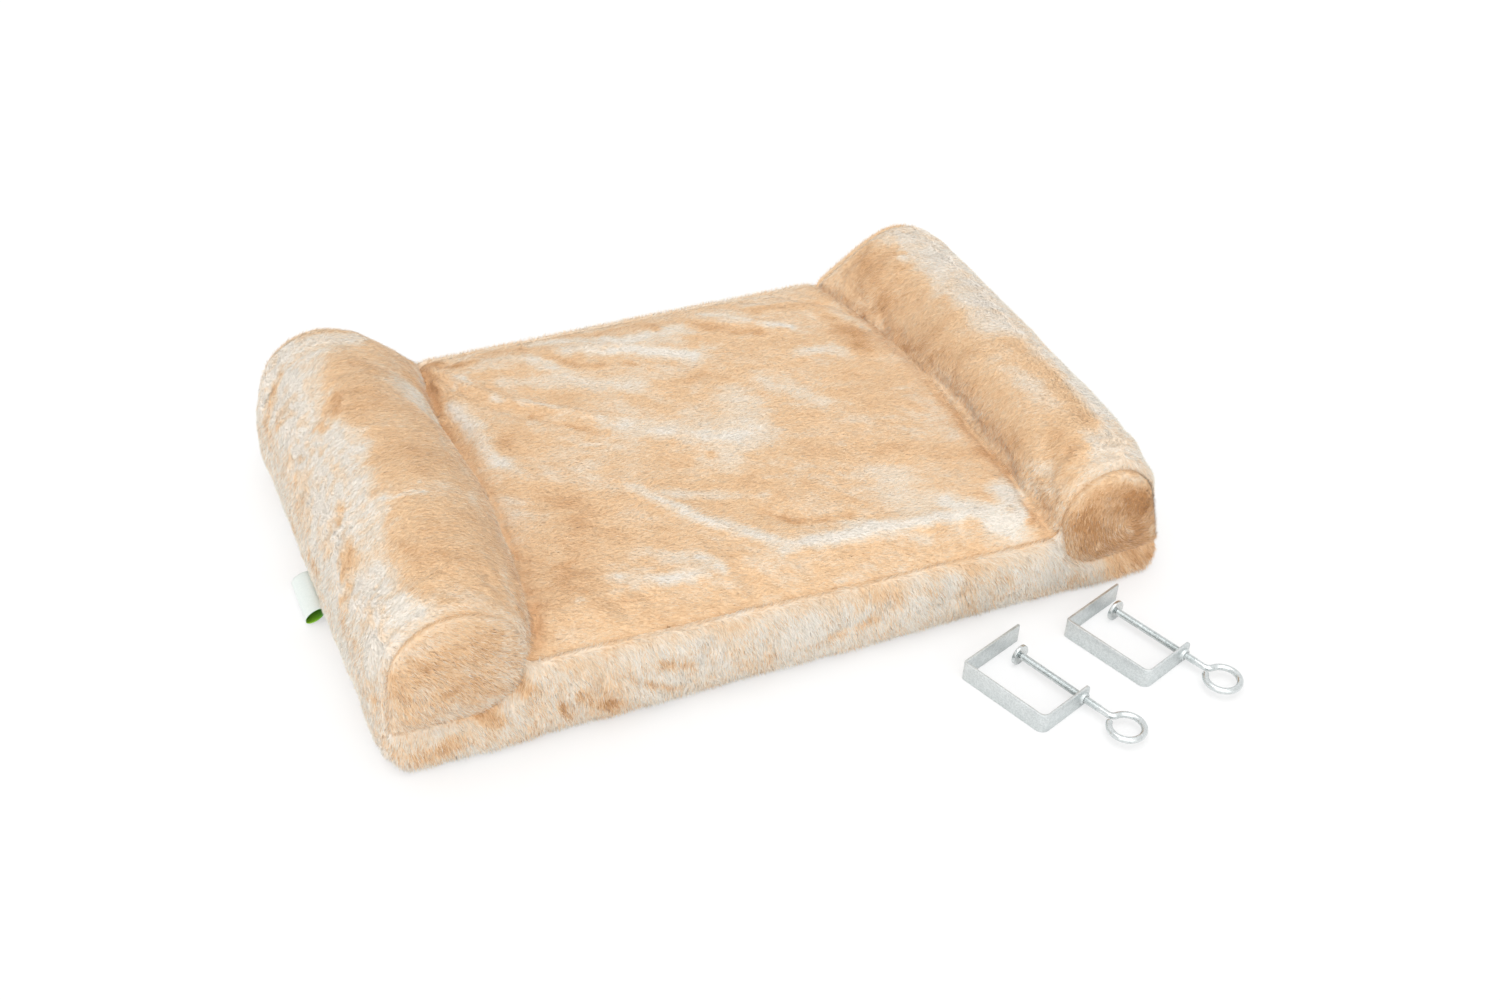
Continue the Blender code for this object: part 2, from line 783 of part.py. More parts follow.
def eye_path():
    """The wire's middle line from the thread to the eye's open end, as (x, y, radius)."""
    centre_x = eye_distance
    bend_x = centre_x - math.sqrt(eye_radius ** 2 + 2 * eye_radius * eye_bend)
    turn = math.atan2(centre_x - bend_x, eye_bend)
    path = []
    for step in range(bend_steps + 1):
        angle = turn * step / bend_steps
        path.append((bend_x + eye_bend * math.sin(angle), eye_bend - eye_bend * math.cos(angle), wire_radius))
    start = math.atan2(eye_bend, bend_x - centre_x)
    end = -math.pi + eye_opening
    for step in range(1, eye_steps + 1):
        angle = start + (end - start) * step / eye_steps
        path.append((centre_x + eye_radius * math.cos(angle), eye_radius * math.sin(angle), wire_radius))
    return path


def swept_rod(shape, path, sides):
    """Rings round a path in the XY plane, closed at both ends. Each point is (x, y, radius)."""
    rings = []
    for index, (x, y, radius) in enumerate(path):
        before = next((p for p in reversed(path[:index]) if p[:2] != (x, y)), (x, y, 0))
        after = next((p for p in path[index + 1:] if p[:2] != (x, y)), (x, y, 0))
        along = Vector((after[0] - before[0], after[1] - before[1], 0)).normalized()
        across = Vector((-along.y, along.x, 0))
        up = Vector((0, 0, 1))
        centre = Vector((x, y, 0))
        angles = [2 * math.pi * side / sides for side in range(sides)]
        rings.append([shape.verts.new(centre + radius * (across * math.cos(a) + up * math.sin(a)))
                      for a in angles])
    for ring, after in zip(rings, rings[1:]):
        for index in range(sides):
            beside = (index + 1) % sides
            shape.faces.new((ring[index], ring[beside], after[beside], after[index]))
    shape.faces.new(rings[0])
    shape.faces.new(rings[-1])


def make_screw(name, place):
    """Eye screw: rivet head, neck through the disc, threaded rod and eye."""
    rivet_end = disc_recess_depth - piece_gap
    rivet_start = rivet_end - rivet_height
    shoulder = disc_thickness + piece_gap
    path = [(rivet_start, 0, rivet_radius), (rivet_end, 0, rivet_radius), (rivet_end, 0, neck_radius),
            (shoulder, 0, neck_radius), (shoulder, 0, thread_radius), (thread_length, 0, thread_radius),
            (thread_length + thread_radius, 0, wire_radius)]
    shape = bmesh.new()
    swept_rod(shape, path + eye_path(), rod_sides)
    screw = object_from(f"{name}_screw", shape, zinc, math.radians(40))
    screw.matrix_world = place
    return screw


def make_clamp(name, corner_x, front_distance, opening):
    """One clamp lying on its strip's edge. Its disc and screw have their origins on the screw's axis."""
    corner = Matrix.Translation((corner_x, -half_width - front_distance, 0))
    place = corner @ Matrix.Rotation(clamp_turn, 4, "Z")
    make_frame(name, place)
    on_axis = place @ Matrix.Translation((strip_thickness + opening, screw_offset, strip_width / 2))
    make_disc(name, on_axis)
    make_screw(name, on_axis)
    back = spine - strip_thickness - (strip_thickness + opening + disc_thickness)
    neck = strip_thickness + opening + thread_length - spine - collar_length
    face = on_axis.translation
    print(f"{name}: disc face at {face.x:.5f} {face.y:.5f} {face.z:.5f}, gap to the far jaw {opening:.4f}, "
          f"to the near jaw {back:.4f}, thread left outside {neck:.4f}")


clear_scene()
make_seat_cover()
for side in (-1, 1):
    make_roll_cover(side)
    make_roll_foam(side)
    for end in (-1, 1):
        make_cap(side, end)
for end in (-1, 1):
    make_band(end)
make_bottom_panel()
make_board()
make_seat_foam()
make_zip()
make_slider()
make_pull()
make_label()
for place in clamp_places:
    make_clamp(*place)
print(f"zip slider at {slider_start:.4f}, pull axis y {pull_axis_y:.5f}, height {zip_height:.4f}")
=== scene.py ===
# %% [markdown]
# # A window bed for a cat
#
# The real bed is a slab of foam with a round bolster at each end. It lies on a board, and a cover of cream
# and tan plush is pulled over everything. Two steel screw clamps, which hold the board to a window sill,
# lie in front of it. The CAD frame already has every piece at its true size and place. Here each piece gets
# the shape of soft cloth or of worked metal, and a finish, and all of it stays on the frame.

# %% Load the frame
import json
import itertools
import math

import bmesh
import bpy
import numpy as np
from mathutils import Matrix, Vector
from mathutils.bvhtree import BVHTree

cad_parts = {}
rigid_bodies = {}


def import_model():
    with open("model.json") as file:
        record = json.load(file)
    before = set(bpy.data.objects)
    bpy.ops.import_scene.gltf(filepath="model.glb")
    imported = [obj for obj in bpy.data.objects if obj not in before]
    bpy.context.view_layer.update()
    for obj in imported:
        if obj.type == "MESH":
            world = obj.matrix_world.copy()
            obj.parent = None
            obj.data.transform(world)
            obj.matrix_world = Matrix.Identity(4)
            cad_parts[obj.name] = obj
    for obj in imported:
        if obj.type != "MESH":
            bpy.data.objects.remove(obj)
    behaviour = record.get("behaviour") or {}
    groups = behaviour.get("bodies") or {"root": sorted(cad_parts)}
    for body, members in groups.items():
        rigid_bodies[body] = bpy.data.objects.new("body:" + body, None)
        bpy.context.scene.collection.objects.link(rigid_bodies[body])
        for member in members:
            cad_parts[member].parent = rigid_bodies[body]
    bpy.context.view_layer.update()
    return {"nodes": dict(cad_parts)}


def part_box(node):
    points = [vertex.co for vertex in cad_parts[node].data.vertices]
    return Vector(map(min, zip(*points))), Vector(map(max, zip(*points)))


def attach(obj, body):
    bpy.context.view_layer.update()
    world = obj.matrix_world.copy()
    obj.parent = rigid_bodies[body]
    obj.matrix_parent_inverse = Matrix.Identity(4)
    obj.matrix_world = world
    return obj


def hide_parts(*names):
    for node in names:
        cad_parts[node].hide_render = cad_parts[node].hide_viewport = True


for item in list(bpy.data.objects):
    bpy.data.objects.remove(item)
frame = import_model()
nodes = frame["nodes"]

# %% [markdown]
# ## The studio
#
# The bed was photographed on white, from above its front left corner, with a long lens. A lens is a number of
# millimetres for a 36 mm wide picture, and the camera's turn is built from three angles: round the vertical,
# down from the horizon, and a slight roll. The camera comes first, because each later step is judged through it.

# %% Camera
picture_width = 36
lens = 45.497
camera_place = Vector((-0.4218, -0.9575, 0.8530))
camera_turn = math.radians(25.649)
camera_dip = math.radians(38.853)
camera_roll = math.radians(3.106)

camera_data = bpy.data.cameras.new("camera")
camera_data.sensor_width = picture_width
camera_data.lens = lens
camera = bpy.data.objects.new("camera", camera_data)
bpy.context.scene.collection.objects.link(camera)
turned = Matrix.Rotation(-camera_turn, 4, "Z") @ Matrix.Rotation(math.radians(90) - camera_dip, 4, "X")
camera.matrix_world = Matrix.Translation(camera_place) @ turned @ Matrix.Rotation(camera_roll, 4, "Z")
bpy.context.scene.camera = camera
print("camera looks along", [round(value, 3) for value in -camera.matrix_world.to_3x3().col[2]])

# %% [markdown]
# A plain room: an even white world, one wide sun from above for the light on the crests, and another low
# from the front left. They are set so that a white sheet facing up comes out just under white. The
# floor is a plane. For camera rays part of its light is its own, which keeps it white and leaves a soft shadow.

# %% Lights and floor
world_strength = 0.80
key_strength = 0.85
key_size, key_aim = 50, (0.15, 0.1, -1)  # angular size in degrees, and where the light goes
fill_strength = 0.92
fill_size, fill_aim = 80, (0.5, 1, -0.55)
floor_tone = 0.93
floor_roughness = 0.9
floor_glow = 0.5  # share of the floor that is its own light, for camera rays

bpy.context.scene.view_settings.view_transform = "Standard"
world = bpy.data.worlds.new("white room")
bpy.context.scene.world = world
world.use_nodes = True
links, tree = world.node_tree.links, world.node_tree.nodes
background = tree["Background"]
background.inputs["Color"].default_value = (1, 1, 1, 1)
seen = tree.new("ShaderNodeLightPath")
either = tree.new("ShaderNodeMath")
either.operation = "MAXIMUM"
strength = tree.new("ShaderNodeMapRange")
strength.inputs["To Min"].default_value = world_strength
strength.inputs["To Max"].default_value = 1
links.new(seen.outputs["Is Camera Ray"], either.inputs[0])
links.new(seen.outputs["Is Glossy Ray"], either.inputs[1])
links.new(either.outputs[0], strength.inputs["Value"])
links.new(strength.outputs["Result"], background.inputs["Strength"])


def add_sun(name, strength, size, aim):
    """A sun that shines along aim, with the angular size given in degrees."""
    data = bpy.data.lights.new(name, "SUN")
    data.energy = strength
    data.angle = math.radians(size)
    lamp = bpy.data.objects.new(name, data)
    bpy.context.scene.collection.objects.link(lamp)
    lamp.rotation_euler = Vector(aim).to_track_quat("-Z", "Y").to_euler()
    return lamp


add_sun("key", key_strength, key_size, key_aim)
add_sun("fill", fill_strength, fill_size, fill_aim)

bpy.ops.object.select_all(action="DESELECT")
bpy.ops.mesh.primitive_plane_add(size=12)
floor = bpy.context.active_object
floor.name = "floor"
floor_finish = bpy.data.materials.new("white floor")
floor_finish.use_nodes = True
tree, links = floor_finish.node_tree.nodes, floor_finish.node_tree.links
paint = tree["Principled BSDF"]
paint.inputs["Base Color"].default_value = (floor_tone,) * 3 + (1,)
paint.inputs["Roughness"].default_value = floor_roughness
paint.inputs["Specular IOR Level"].default_value = 0
glow = tree.new("ShaderNodeEmission")
seen = tree.new("ShaderNodeLightPath")
share = tree.new("ShaderNodeMath")
share.operation = "MULTIPLY"
share.inputs[1].default_value = floor_glow
mixed = tree.new("ShaderNodeMixShader")
links.new(seen.outputs["Is Camera Ray"], share.inputs[0])
links.new(share.outputs[0], mixed.inputs[0])
links.new(paint.outputs[0], mixed.inputs[1])
links.new(glow.outputs[0], mixed.inputs[2])
links.new(mixed.outputs[0], tree["Material Output"].inputs["Surface"])
floor.data.materials.append(floor_finish)
print("floor and lights are in place")

# %% [markdown]
# ## One skin for the cushion
#
# On the real bed nine panels of plush are sewn into one cover, and the foam pushes it out between the seams.
# Nine separate cushions would leave gaps or cut into each other there. So the covers and everything inside
# them are first melted into one closed skin with a voxel remesh, that skin is shaped as cloth, and only then
# it is cut into panels along the seams.

# %% Melt the covers and their filling into one skin
cover_names = [
    "left_roll_cover", "right_roll_cover", "seat_cover", "front_band", "rear_band",
    "front_left_cap", "front_right_cap", "rear_left_cap", "rear_right_cap",
]
filling_names = ["seat_foam", "left_roll_foam", "right_roll_foam", "base_board", "bottom_panel"]
voxel = 0.004
merge_distance = 0.0001


def only(*objects):
    """Selects these objects and nothing else, the first one active."""
    bpy.ops.object.select_all(action="DESELECT")
    for item in objects:
        item.select_set(True)
    bpy.context.view_layer.objects.active = objects[0]


def copy_of(names, title):
    """One new object from copies of these CAD nodes, merged where their triangles meet."""
    copies = []
    for name in names:
        copy = bpy.data.objects.new(title, nodes[name].data.copy())
        bpy.context.scene.collection.objects.link(copy)
        copies.append(copy)
    only(*copies)
    if len(copies) > 1:
        bpy.ops.object.join()
    made = bpy.context.active_object
    made.name = title
    made.data.materials.clear()
    bpy.ops.object.mode_set(mode="EDIT")
    bpy.ops.mesh.select_all(action="SELECT")
    bpy.ops.mesh.remove_doubles(threshold=merge_distance)
    bpy.ops.object.mode_set(mode="OBJECT")
    return made


def apply_modifiers(item):
    only(item)
    for name in [modifier.name for modifier in item.modifiers]:
        bpy.ops.object.modifier_apply(modifier=name)


skin = copy_of(cover_names + filling_names, "skin")
remesh = skin.modifiers.new("melt together", "REMESH")
remesh.mode = "VOXEL"
remesh.voxel_size = voxel
apply_modifiers(skin)
bpy.ops.object.mode_set(mode="EDIT")
bpy.ops.mesh.select_all(action="SELECT")
bpy.ops.mesh.separate(type="LOOSE")
bpy.ops.object.mode_set(mode="OBJECT")
shells = sorted(bpy.context.selected_objects, key=lambda item: len(item.data.vertices))
skin = shells.pop()
for hollow in shells:
    bpy.data.objects.remove(hollow)
skin.name = "skin"
print(f"the skin has {len(skin.data.vertices)} points; {len(shells)} inner hollows were taken out")

# %% [markdown]
# ## Where the seams run
#
# The seams decide the look of a sewn cushion, so they are read from the frame: the two creases beside the
# rolls are the ends of the seat cover, the front and rear seams lie in one plane each, and the lower edge of
# each roll's cap is the part of its rim under the crease.

# %% Read the seams from the frame
seam_y = (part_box("seat_cover")[1].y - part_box("front_band")[1].y) / 2
flank_lean = 0.364
far = 0.4


def points_of(name):
    mesh = nodes[name].data
    values = np.empty(len(mesh.vertices) * 3)
    mesh.vertices.foreach_get("co", values)
    return values.reshape(-1, 3)


def crease_beside(side):
    """Points along the crease at one side of the seat, from the front to the rear."""
    points = points_of("seat_cover")
    path = []
    for y in sorted(set(points[:, 1].round(3))):
        row = points[points[:, 1].round(3) == y]
        end = row[side * row[:, 0] > (side * row[:, 0]).max() - merge_distance]
        path.append(end[end[:, 2].argmax()])
    return np.array(path)


def cap_foot(side, end):
    """Lower edge of a cap as (x, z) pairs, from far outside to the crease and on up along the roll's flank."""
    name = f"{'front' if end < 0 else 'rear'}_{'left' if side < 0 else 'right'}_cap"
    points = points_of(name)
    rim = points[abs(abs(points[:, 1]) - abs(points[:, 1]).min()) < merge_distance]
    crease = creases[side][0 if end < 0 else -1]
    axis = side * (side * rim[:, 0]).mean()
    lower = rim[(side * (rim[:, 0] - axis) < 0) & (rim[:, 2] <= crease[2] + merge_distance)]
    lower = lower[np.argsort(-side * lower[:, 0])]
    path = [(side * far, lower[0][2])] + [(x, z) for x, y, z in lower]
    path.append((path[-1][0] - side * far * flank_lean, path[-1][1] + far))
    return np.array(path)


creases = {side: crease_beside(side) for side in (-1, 1)}
cap_feet = {(side, end): cap_foot(side, end) for side in (-1, 1) for end in (-1, 1)}
print(f"front and rear seams at y = ±{seam_y:.4f}")
print("left crease from", creases[-1][0].round(3), "to", creases[-1][-1].round(3))


def distance_to_path(points, path):
    """Distance of each point to a path of straight pieces."""
    nearest = np.full(len(points), np.inf)
    for start, end in zip(path[:-1], path[1:]):
        along = end - start
        if not along.any():
            continue
        share = np.clip((points - start) @ along / (along @ along), 0, 1)
        gap = np.linalg.norm(points - start - share[:, None] * along, axis=1)
        nearest = np.minimum(nearest, gap)
    return nearest


def seam_distance(points, with_creases=True):
    """Distance of each point on the skin to the nearest seam."""
    nearest = abs(abs(points[:, 1]) - seam_y)
    for side in (-1, 1):
        if with_creases:
            nearest = np.minimum(nearest, distance_to_path(points, creases[side]))
        for end in (-1, 1):
            gap = distance_to_path(points[:, [0, 2]], cap_feet[side, end])
            nearest = np.where(end * points[:, 1] > seam_y, np.minimum(nearest, gap), nearest)
    return nearest


# %% [markdown]
# ## Let the plush swell and wrinkle
#
# Plush stretched over foam is never as even as a CAD surface. A cloth simulation presses the skin outwards
# from inside while the cloth is a little too large for the form, so it swells between the seams and small
# folds run towards them. The seams and the flat underside are held. Gravity is off, because foam carries the
# cloth. How far a point may move is capped, so the bed keeps its measured size.

# %% Simulate the skin
cloth_frames = 20
cloth_pressure = 4
cloth_slack = -0.02
most_movement = 0.005
most_sinking = 0.0012
held_width = 0.004
underside = 0.003
wall_reach = (0.215, 0.235)
wall_rounds = 30
wall_fade = (0.004, 0.014)  # the softening starts and is full at these distances from a seam
wall_foot = 0.012


def ease(values, low, high):
    """0 below low, 1 above high, and smooth between them."""
    share = np.clip((values - low) / (high - low), 0, 1)
    return share * share * (3 - 2 * share)


def coordinates(item):
    values = np.empty(len(item.data.vertices) * 3)
    item.data.vertices.foreach_get("co", values)
    return values.reshape(-1, 3)


def normals(item):
    values = np.empty(len(item.data.vertices) * 3)
    item.data.vertex_normals.foreach_get("vector", values)
    return values.reshape(-1, 3)


def set_coordinates(item, points):
    item.data.vertices.foreach_set("co", points.ravel())
    item.data.update()


def weigh(item, name, weights):
    """A vertex group from one weight for each point."""
    group = item.vertex_groups.new(name=name)
    for index in np.nonzero(weights > 0)[0]:
        group.add([int(index)], float(weights[index]), "REPLACE")
    return group


def swell(item):
    """Cloth simulation on the item, with its movement capped."""
    rest, outwards = coordinates(item), normals(item)
    gap = seam_distance(rest)
    held = np.clip(2 - gap / held_width, 0, 1)
    held[rest[:, 2] < underside] = 1
    weigh(item, "held", held)
    cloth = item.modifiers.new("cloth", "CLOTH")
    cloth.settings.vertex_group_mass = "held"
    cloth.settings.quality = 4
    cloth.settings.mass = 0.3
    cloth.settings.tension_stiffness = 8
    cloth.settings.compression_stiffness = 8
    cloth.settings.shear_stiffness = 4
    cloth.settings.bending_stiffness = 0.3
    cloth.settings.shrink_min = cloth_slack
    cloth.settings.use_pressure = True
    cloth.settings.uniform_pressure_force = cloth_pressure
    cloth.settings.effector_weights.gravity = 0
    cloth.collision_settings.use_collision = False
    cloth.point_cache.frame_end = cloth_frames
    scene = bpy.context.scene
    for frame_number in range(1, cloth_frames + 1):
        scene.frame_set(frame_number)
    apply_modifiers(item)
    scene.frame_set(1)
    moved = coordinates(item) - rest
    inwards = np.minimum((moved * outwards).sum(1) + most_sinking, 0)
    moved -= inwards[:, None] * outwards
    length = np.linalg.norm(moved, axis=1)
    share = np.minimum(1, most_movement / np.maximum(length, 1e-9))
    set_coordinates(item, rest + moved * share[:, None])
    print(f"the cloth moved {length.mean() * 1000:.1f} mm on average, {length.max() * 1000:.1f} mm at most")


def soften_walls(item):
    """Rounds the edge between each roll and the flat wall under it, which foam doesn't have."""
    points = coordinates(item)
    away = ease(seam_distance(points), *wall_fade) * ease(points[:, 2], underside, wall_foot)
    weigh(item, "walls", away * ease(abs(points[:, 0]), *wall_reach))
    softening = item.modifiers.new("soft walls", "SMOOTH")
    softening.vertex_group = "walls"
    softening.factor = 0.5
    softening.iterations = wall_rounds
    apply_modifiers(item)


soften_walls(skin)
swell(skin)


# %% [markdown]
# ## Cut the skin into panels
#
# A cut should follow the seam smoothly and not zigzag along the grid of the remesh. Each seam is written as a
# number that is negative on one side of it and positive on the other. For the cut the points are moved so
# that this number is their X, a bisect at X = 0 cuts the faces exactly on the seam, and the points go back.

# %% Cut along the seams
hem_height = 0.001
cut_slack = 2e-5
crease_low = 0.03  # the creases beside the rolls end above this height

subdivision = skin.modifiers.new("finer", "SUBSURF")
subdivision.levels = subdivision.render_levels = 1
apply_modifiers(skin)


def side_of_crease(points, side):
    """Positive on the roll and its wall, negative on the seat."""
    path = creases[side]
    x = np.interp(points[:, 1], path[:, 1], path[:, 0])
    z = np.interp(points[:, 1], path[:, 1], path[:, 2])
    return side * (points[:, 0] - x) + flank_lean * (points[:, 2] - z)


def above_foot(points, side, end):
    """Positive inside a cap, negative on the band below it and beside it."""
    path = cap_feet[side, end]
    order = np.argsort(side * -path[:-1, 0])
    x, z = path[:-1][order].T
    height = points[:, 2] - np.interp(side * -points[:, 0], side * -x, z)
    last = path[-2]
    flank = side * (points[:, 0] - last[0]) + flank_lean * (points[:, 2] - last[1])
    return np.minimum(height, flank)


def cut_along(shape, value_of, region):
    """Cuts the faces in a region where value_of changes its sign."""
    shape.verts.ensure_lookup_table()
    points = np.array([vertex.co for vertex in shape.verts])
    values = value_of(points)
    inside = region(points)
    kept = shape.verts.layers.float_vector["place"]
    for vertex, value in zip(shape.verts, values):
        vertex[kept] = vertex.co
        vertex.co.x = value
    chosen = [face for face in shape.faces if all(inside[vertex.index] for vertex in face.verts)]
    parts = chosen + list({edge for face in chosen for edge in face.edges})
    parts += list({vertex for face in chosen for vertex in face.verts})
    bmesh.ops.bisect_plane(shape, geom=parts, plane_co=(0, 0, 0), plane_no=(1, 0, 0), dist=1e-5)
    for vertex in shape.verts:
        vertex.co = vertex[kept]
    shape.verts.index_update()


shape = bmesh.new()
shape.from_mesh(skin.data)
shape.verts.layers.float_vector.new("place")
cut_along(shape, lambda points: points[:, 2] - hem_height, lambda points: points[:, 2] < voxel)
for end in (-1, 1):
    cut_along(shape, lambda points: end * points[:, 1] - seam_y, lambda points: end * points[:, 1] > 0)
for side in (-1, 1):
    cut_along(shape, lambda points: side_of_crease(points, side),
              lambda points: (abs(points[:, 1]) < seam_y + cut_slack) & (side * points[:, 0] > 0)
              & (points[:, 2] > crease_low))
    for end in (-1, 1):
        cut_along(shape, lambda points: above_foot(points, side, end),
                  lambda points: (end * points[:, 1] > seam_y - cut_slack) & (side * points[:, 0] > 0))
print(f"after the cuts the skin has {len(shape.faces)} faces")

# %% [markdown]
# Each face now belongs to one panel, told by its middle before the skin moves any further. A face under the
# hem height lies on the underside, which is another cloth, so it belongs to none.

# %% Give each face its panel
def panel_of(points):
    """Which panel each point belongs to, as its place in cover_names, or -1 for the underside."""
    number = np.full(len(points), cover_names.index("seat_cover"))
    for side, word in ((-1, "left"), (1, "right")):
        half = side * points[:, 0] > 0
        number[half & (side_of_crease(points, side) > 0)] = cover_names.index(f"{word}_roll_cover")
    for end, word in ((-1, "front"), (1, "rear")):
        there = end * points[:, 1] > seam_y
        number[there] = cover_names.index(f"{word}_band")
        for side, hand in ((-1, "left"), (1, "right")):
            inside = there & (side * points[:, 0] > 0) & (above_foot(points, side, end) > 0)
            number[inside] = cover_names.index(f"{word}_{hand}_cap")
    number[points[:, 2] < hem_height - merge_distance] = -1
    return number


shape.to_mesh(skin.data)
shape.free()
skin.data.update()
middles = np.empty(len(skin.data.polygons) * 3)
skin.data.polygons.foreach_get("center", middles)
panel_number = panel_of(middles.reshape(-1, 3))
print("faces in each panel:", [int((panel_number == number).sum()) for number in range(len(cover_names))])

# %% [markdown]
# ## Seams and folds
#
# Stitches pull the plush down, so the skin sinks next to each seam and most on the seam itself. A few long
# folds, which the plush shows where it is pulled towards a corner, are raised along lines across the seat
# and the front band. Where they run is read from the photograph, as points that the camera then finds on
# the skin. Soft noise adds low lumps, because foam under cloth is never quite even. Last, the plush is held
# flat behind the zip, where it is sewn down.

# %% Soft noise
noise_cells = 64
noise_offset = 100


def soft_noise(points, size, seed):
    """Smooth random values from -1 to 1 that change over about this size."""
    table = np.random.default_rng(seed).uniform(-1, 1, (noise_cells,) * 3)
    place = points / size + noise_offset
    low = np.floor(place).astype(int)
    part = place - low
    part = part * part * (3 - 2 * part)
    total = np.zeros(len(points))
    for corner in itertools.product((0, 1), repeat=3):
        weight = np.where(corner, part, 1 - part).prod(axis=1)
        total += weight * table[tuple(((low + corner) % noise_cells).T)]
    return total


# %% Press the seams in and raise the folds
groove_depth = 0.0022
groove_width = 0.0030
crease_extra = 0.0030
ray_reach = 3
picture_size = (1500, 1000)
zip_bed = 0.0003  # how far the plush stays behind the zip tape
zip_margin = 0.0015
lumps = ((0.034, 0.0011), (0.015, 0.0005))  # size and height of the cushion's uneven places
lump_seed, lump_fade = 20, (0.002, 0.012)

# folds as height, width and the points they run through, where the camera sees them in the picture
folds = {
    "from the rear left corner": (0.0022, 0.0040, [(424, 367), (463, 387), (500, 399), (560, 411), (610, 420)]),
    "second from that corner": (0.0020, 0.0035, [(426, 378), (452, 396), (480, 408)]),
    "third, towards the front": (0.0022, 0.0075, [(438, 392), (470, 425), (505, 466)]),
    "valley beside it": (-0.0012, 0.0040, [(430, 372), (470, 402), (560, 424), (600, 432)]),
    "rear edge": (0.0015, 0.0080, [(545, 352), (620, 345), (690, 350)]),
    "towards the right roll": (0.0018, 0.0070, [(700, 318), (750, 324), (800, 332)]),
    "front smear, left arm": (0.0016, 0.0080, [(640, 488), (700, 520), (780, 548)]),
    "front smear, right arm": (0.0016, 0.0080, [(780, 548), (880, 526), (1000, 508)]),
    "valley over the smear": (-0.0012, 0.0070, [(740, 512), (800, 520), (860, 516)]),
    "first cross fold on the left roll": (0.0012, 0.0030, [(345, 434), (370, 428), (410, 427)]),
    "second cross fold on the left roll": (0.0012, 0.0030, [(352, 508), (375, 497), (420, 490)]),
    "left wall, first ripple": (0.0006, 0.0090, [(268, 392), (284, 424), (304, 446)]),
    "left wall, second ripple": (0.0006, 0.0085, [(276, 440), (294, 470), (318, 492)]),
    "left wall, third ripple": (0.0006, 0.0090, [(288, 492), (306, 520), (330, 540)]),
    "left wall, fourth ripple": (0.0006, 0.0090, [(304, 545), (326, 590), (336, 630)]),
    "band, under the left cap": (0.0020, 0.0040, [(503, 688), (514, 708), (528, 724)]),
    "band, first gather": (-0.0022, 0.0045, [(545, 690), (562, 706), (580, 718)]),
    "band, second gather": (-0.0022, 0.0050, [(578, 684), (600, 696), (630, 703)]),
    "band, third gather": (-0.0024, 0.0040, [(610, 670), (645, 682), (680, 690)]),
    "band, between gathers": (0.0018, 0.0050, [(590, 678), (630, 692), (670, 697)]),
    "band, fourth gather": (-0.0018, 0.0045, [(655, 660), (690, 665), (725, 667)]),
    "band, right of the middle": (-0.0016, 0.0045, [(820, 640), (850, 626), (890, 612)]),
    "band, near the right cap": (-0.0018, 0.0045, [(930, 610), (960, 597), (985, 582)]),
}


def tree_of(item):
    """Lookup tree for the nearest place on an object and for rays that hit it."""
    return BVHTree.FromObject(item, bpy.context.evaluated_depsgraph_get())


def seen_at(tree, pixel):
    """The place on the skin that the camera shows at this pixel of the picture."""
    across = (pixel[0] - picture_size[0] / 2) / picture_size[0] * picture_width
    up = (picture_size[1] / 2 - pixel[1]) / picture_size[0] * picture_width
    aim = camera.matrix_world.to_3x3() @ Vector((across, up, -lens))
    return np.array(tree.ray_cast(camera_place, aim, ray_reach)[0] or (far, far, far))


bpy.context.view_layer.update()
skin_tree = tree_of(skin)
points, outwards = coordinates(skin), normals(skin)
gap = seam_distance(points)
crease_gap = np.minimum(*(distance_to_path(points, creases[side]) for side in (-1, 1)))
rise = -groove_depth * np.exp(-(gap / groove_width) ** 2)
rise -= crease_extra * np.exp(-(crease_gap / groove_width) ** 2)
for height, width, pixels in folds.values():
    path = np.array([seen_at(skin_tree, pixel) for pixel in pixels])
    ends = np.minimum(np.linalg.norm(points - path[0], axis=1), np.linalg.norm(points - path[-1], axis=1))
    fade = np.clip(ends / (3 * width), 0, 1)
    rise += height * fade * np.exp(-(distance_to_path(points, path) / width) ** 2)
for seed, (size, height) in enumerate(lumps):
    rise += height * soft_noise(points, size, lump_seed + seed) * ease(gap, *lump_fade)
rise *= np.clip((points[:, 2] - hem_height) / voxel, 0, 1)
points += outwards * rise[:, None]
tape_low, tape_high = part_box("zip_tape")
beyond = np.maximum(abs(points[:, 0]) - tape_high.x, abs(points[:, 2] - (tape_low.z + tape_high.z) / 2)
                    - (tape_high.z - tape_low.z) / 2)
behind_zip = tape_low.y - zip_bed + np.maximum(beyond - zip_margin, 0)
points[:, 1] = np.minimum(points[:, 1], behind_zip)
set_coordinates(skin, points)
print(f"seams and {len(folds)} folds move the skin by {rise.min() * 1000:.1f} to {rise.max() * 1000:.1f} mm")

# %% [markdown]
# ## Nine panels
#
# Now the skin is taken apart along the seams. Each panel is cloth, so later it gets a backing and an edge.

# %% Take the skin apart
panels = {}
for number, name in enumerate(cover_names):
    shape = bmesh.new()
    shape.from_mesh(skin.data)
    shape.faces.ensure_lookup_table()
    others = [face for face, owner in zip(shape.faces, panel_number) if owner != number]
    bmesh.ops.delete(shape, geom=others, context="FACES")
    mesh = bpy.data.meshes.new(name)
    shape.to_mesh(mesh)
    shape.free()
    panel = bpy.data.objects.new(f"plush_{name}", mesh)
    bpy.context.scene.collection.objects.link(panel)
    mesh.shade_smooth()
    panels[name] = panel
skin_tree = tree_of(skin)
print("panels:", ", ".join(f"{name} {len(panel.data.polygons)}" for name, panel in panels.items()))

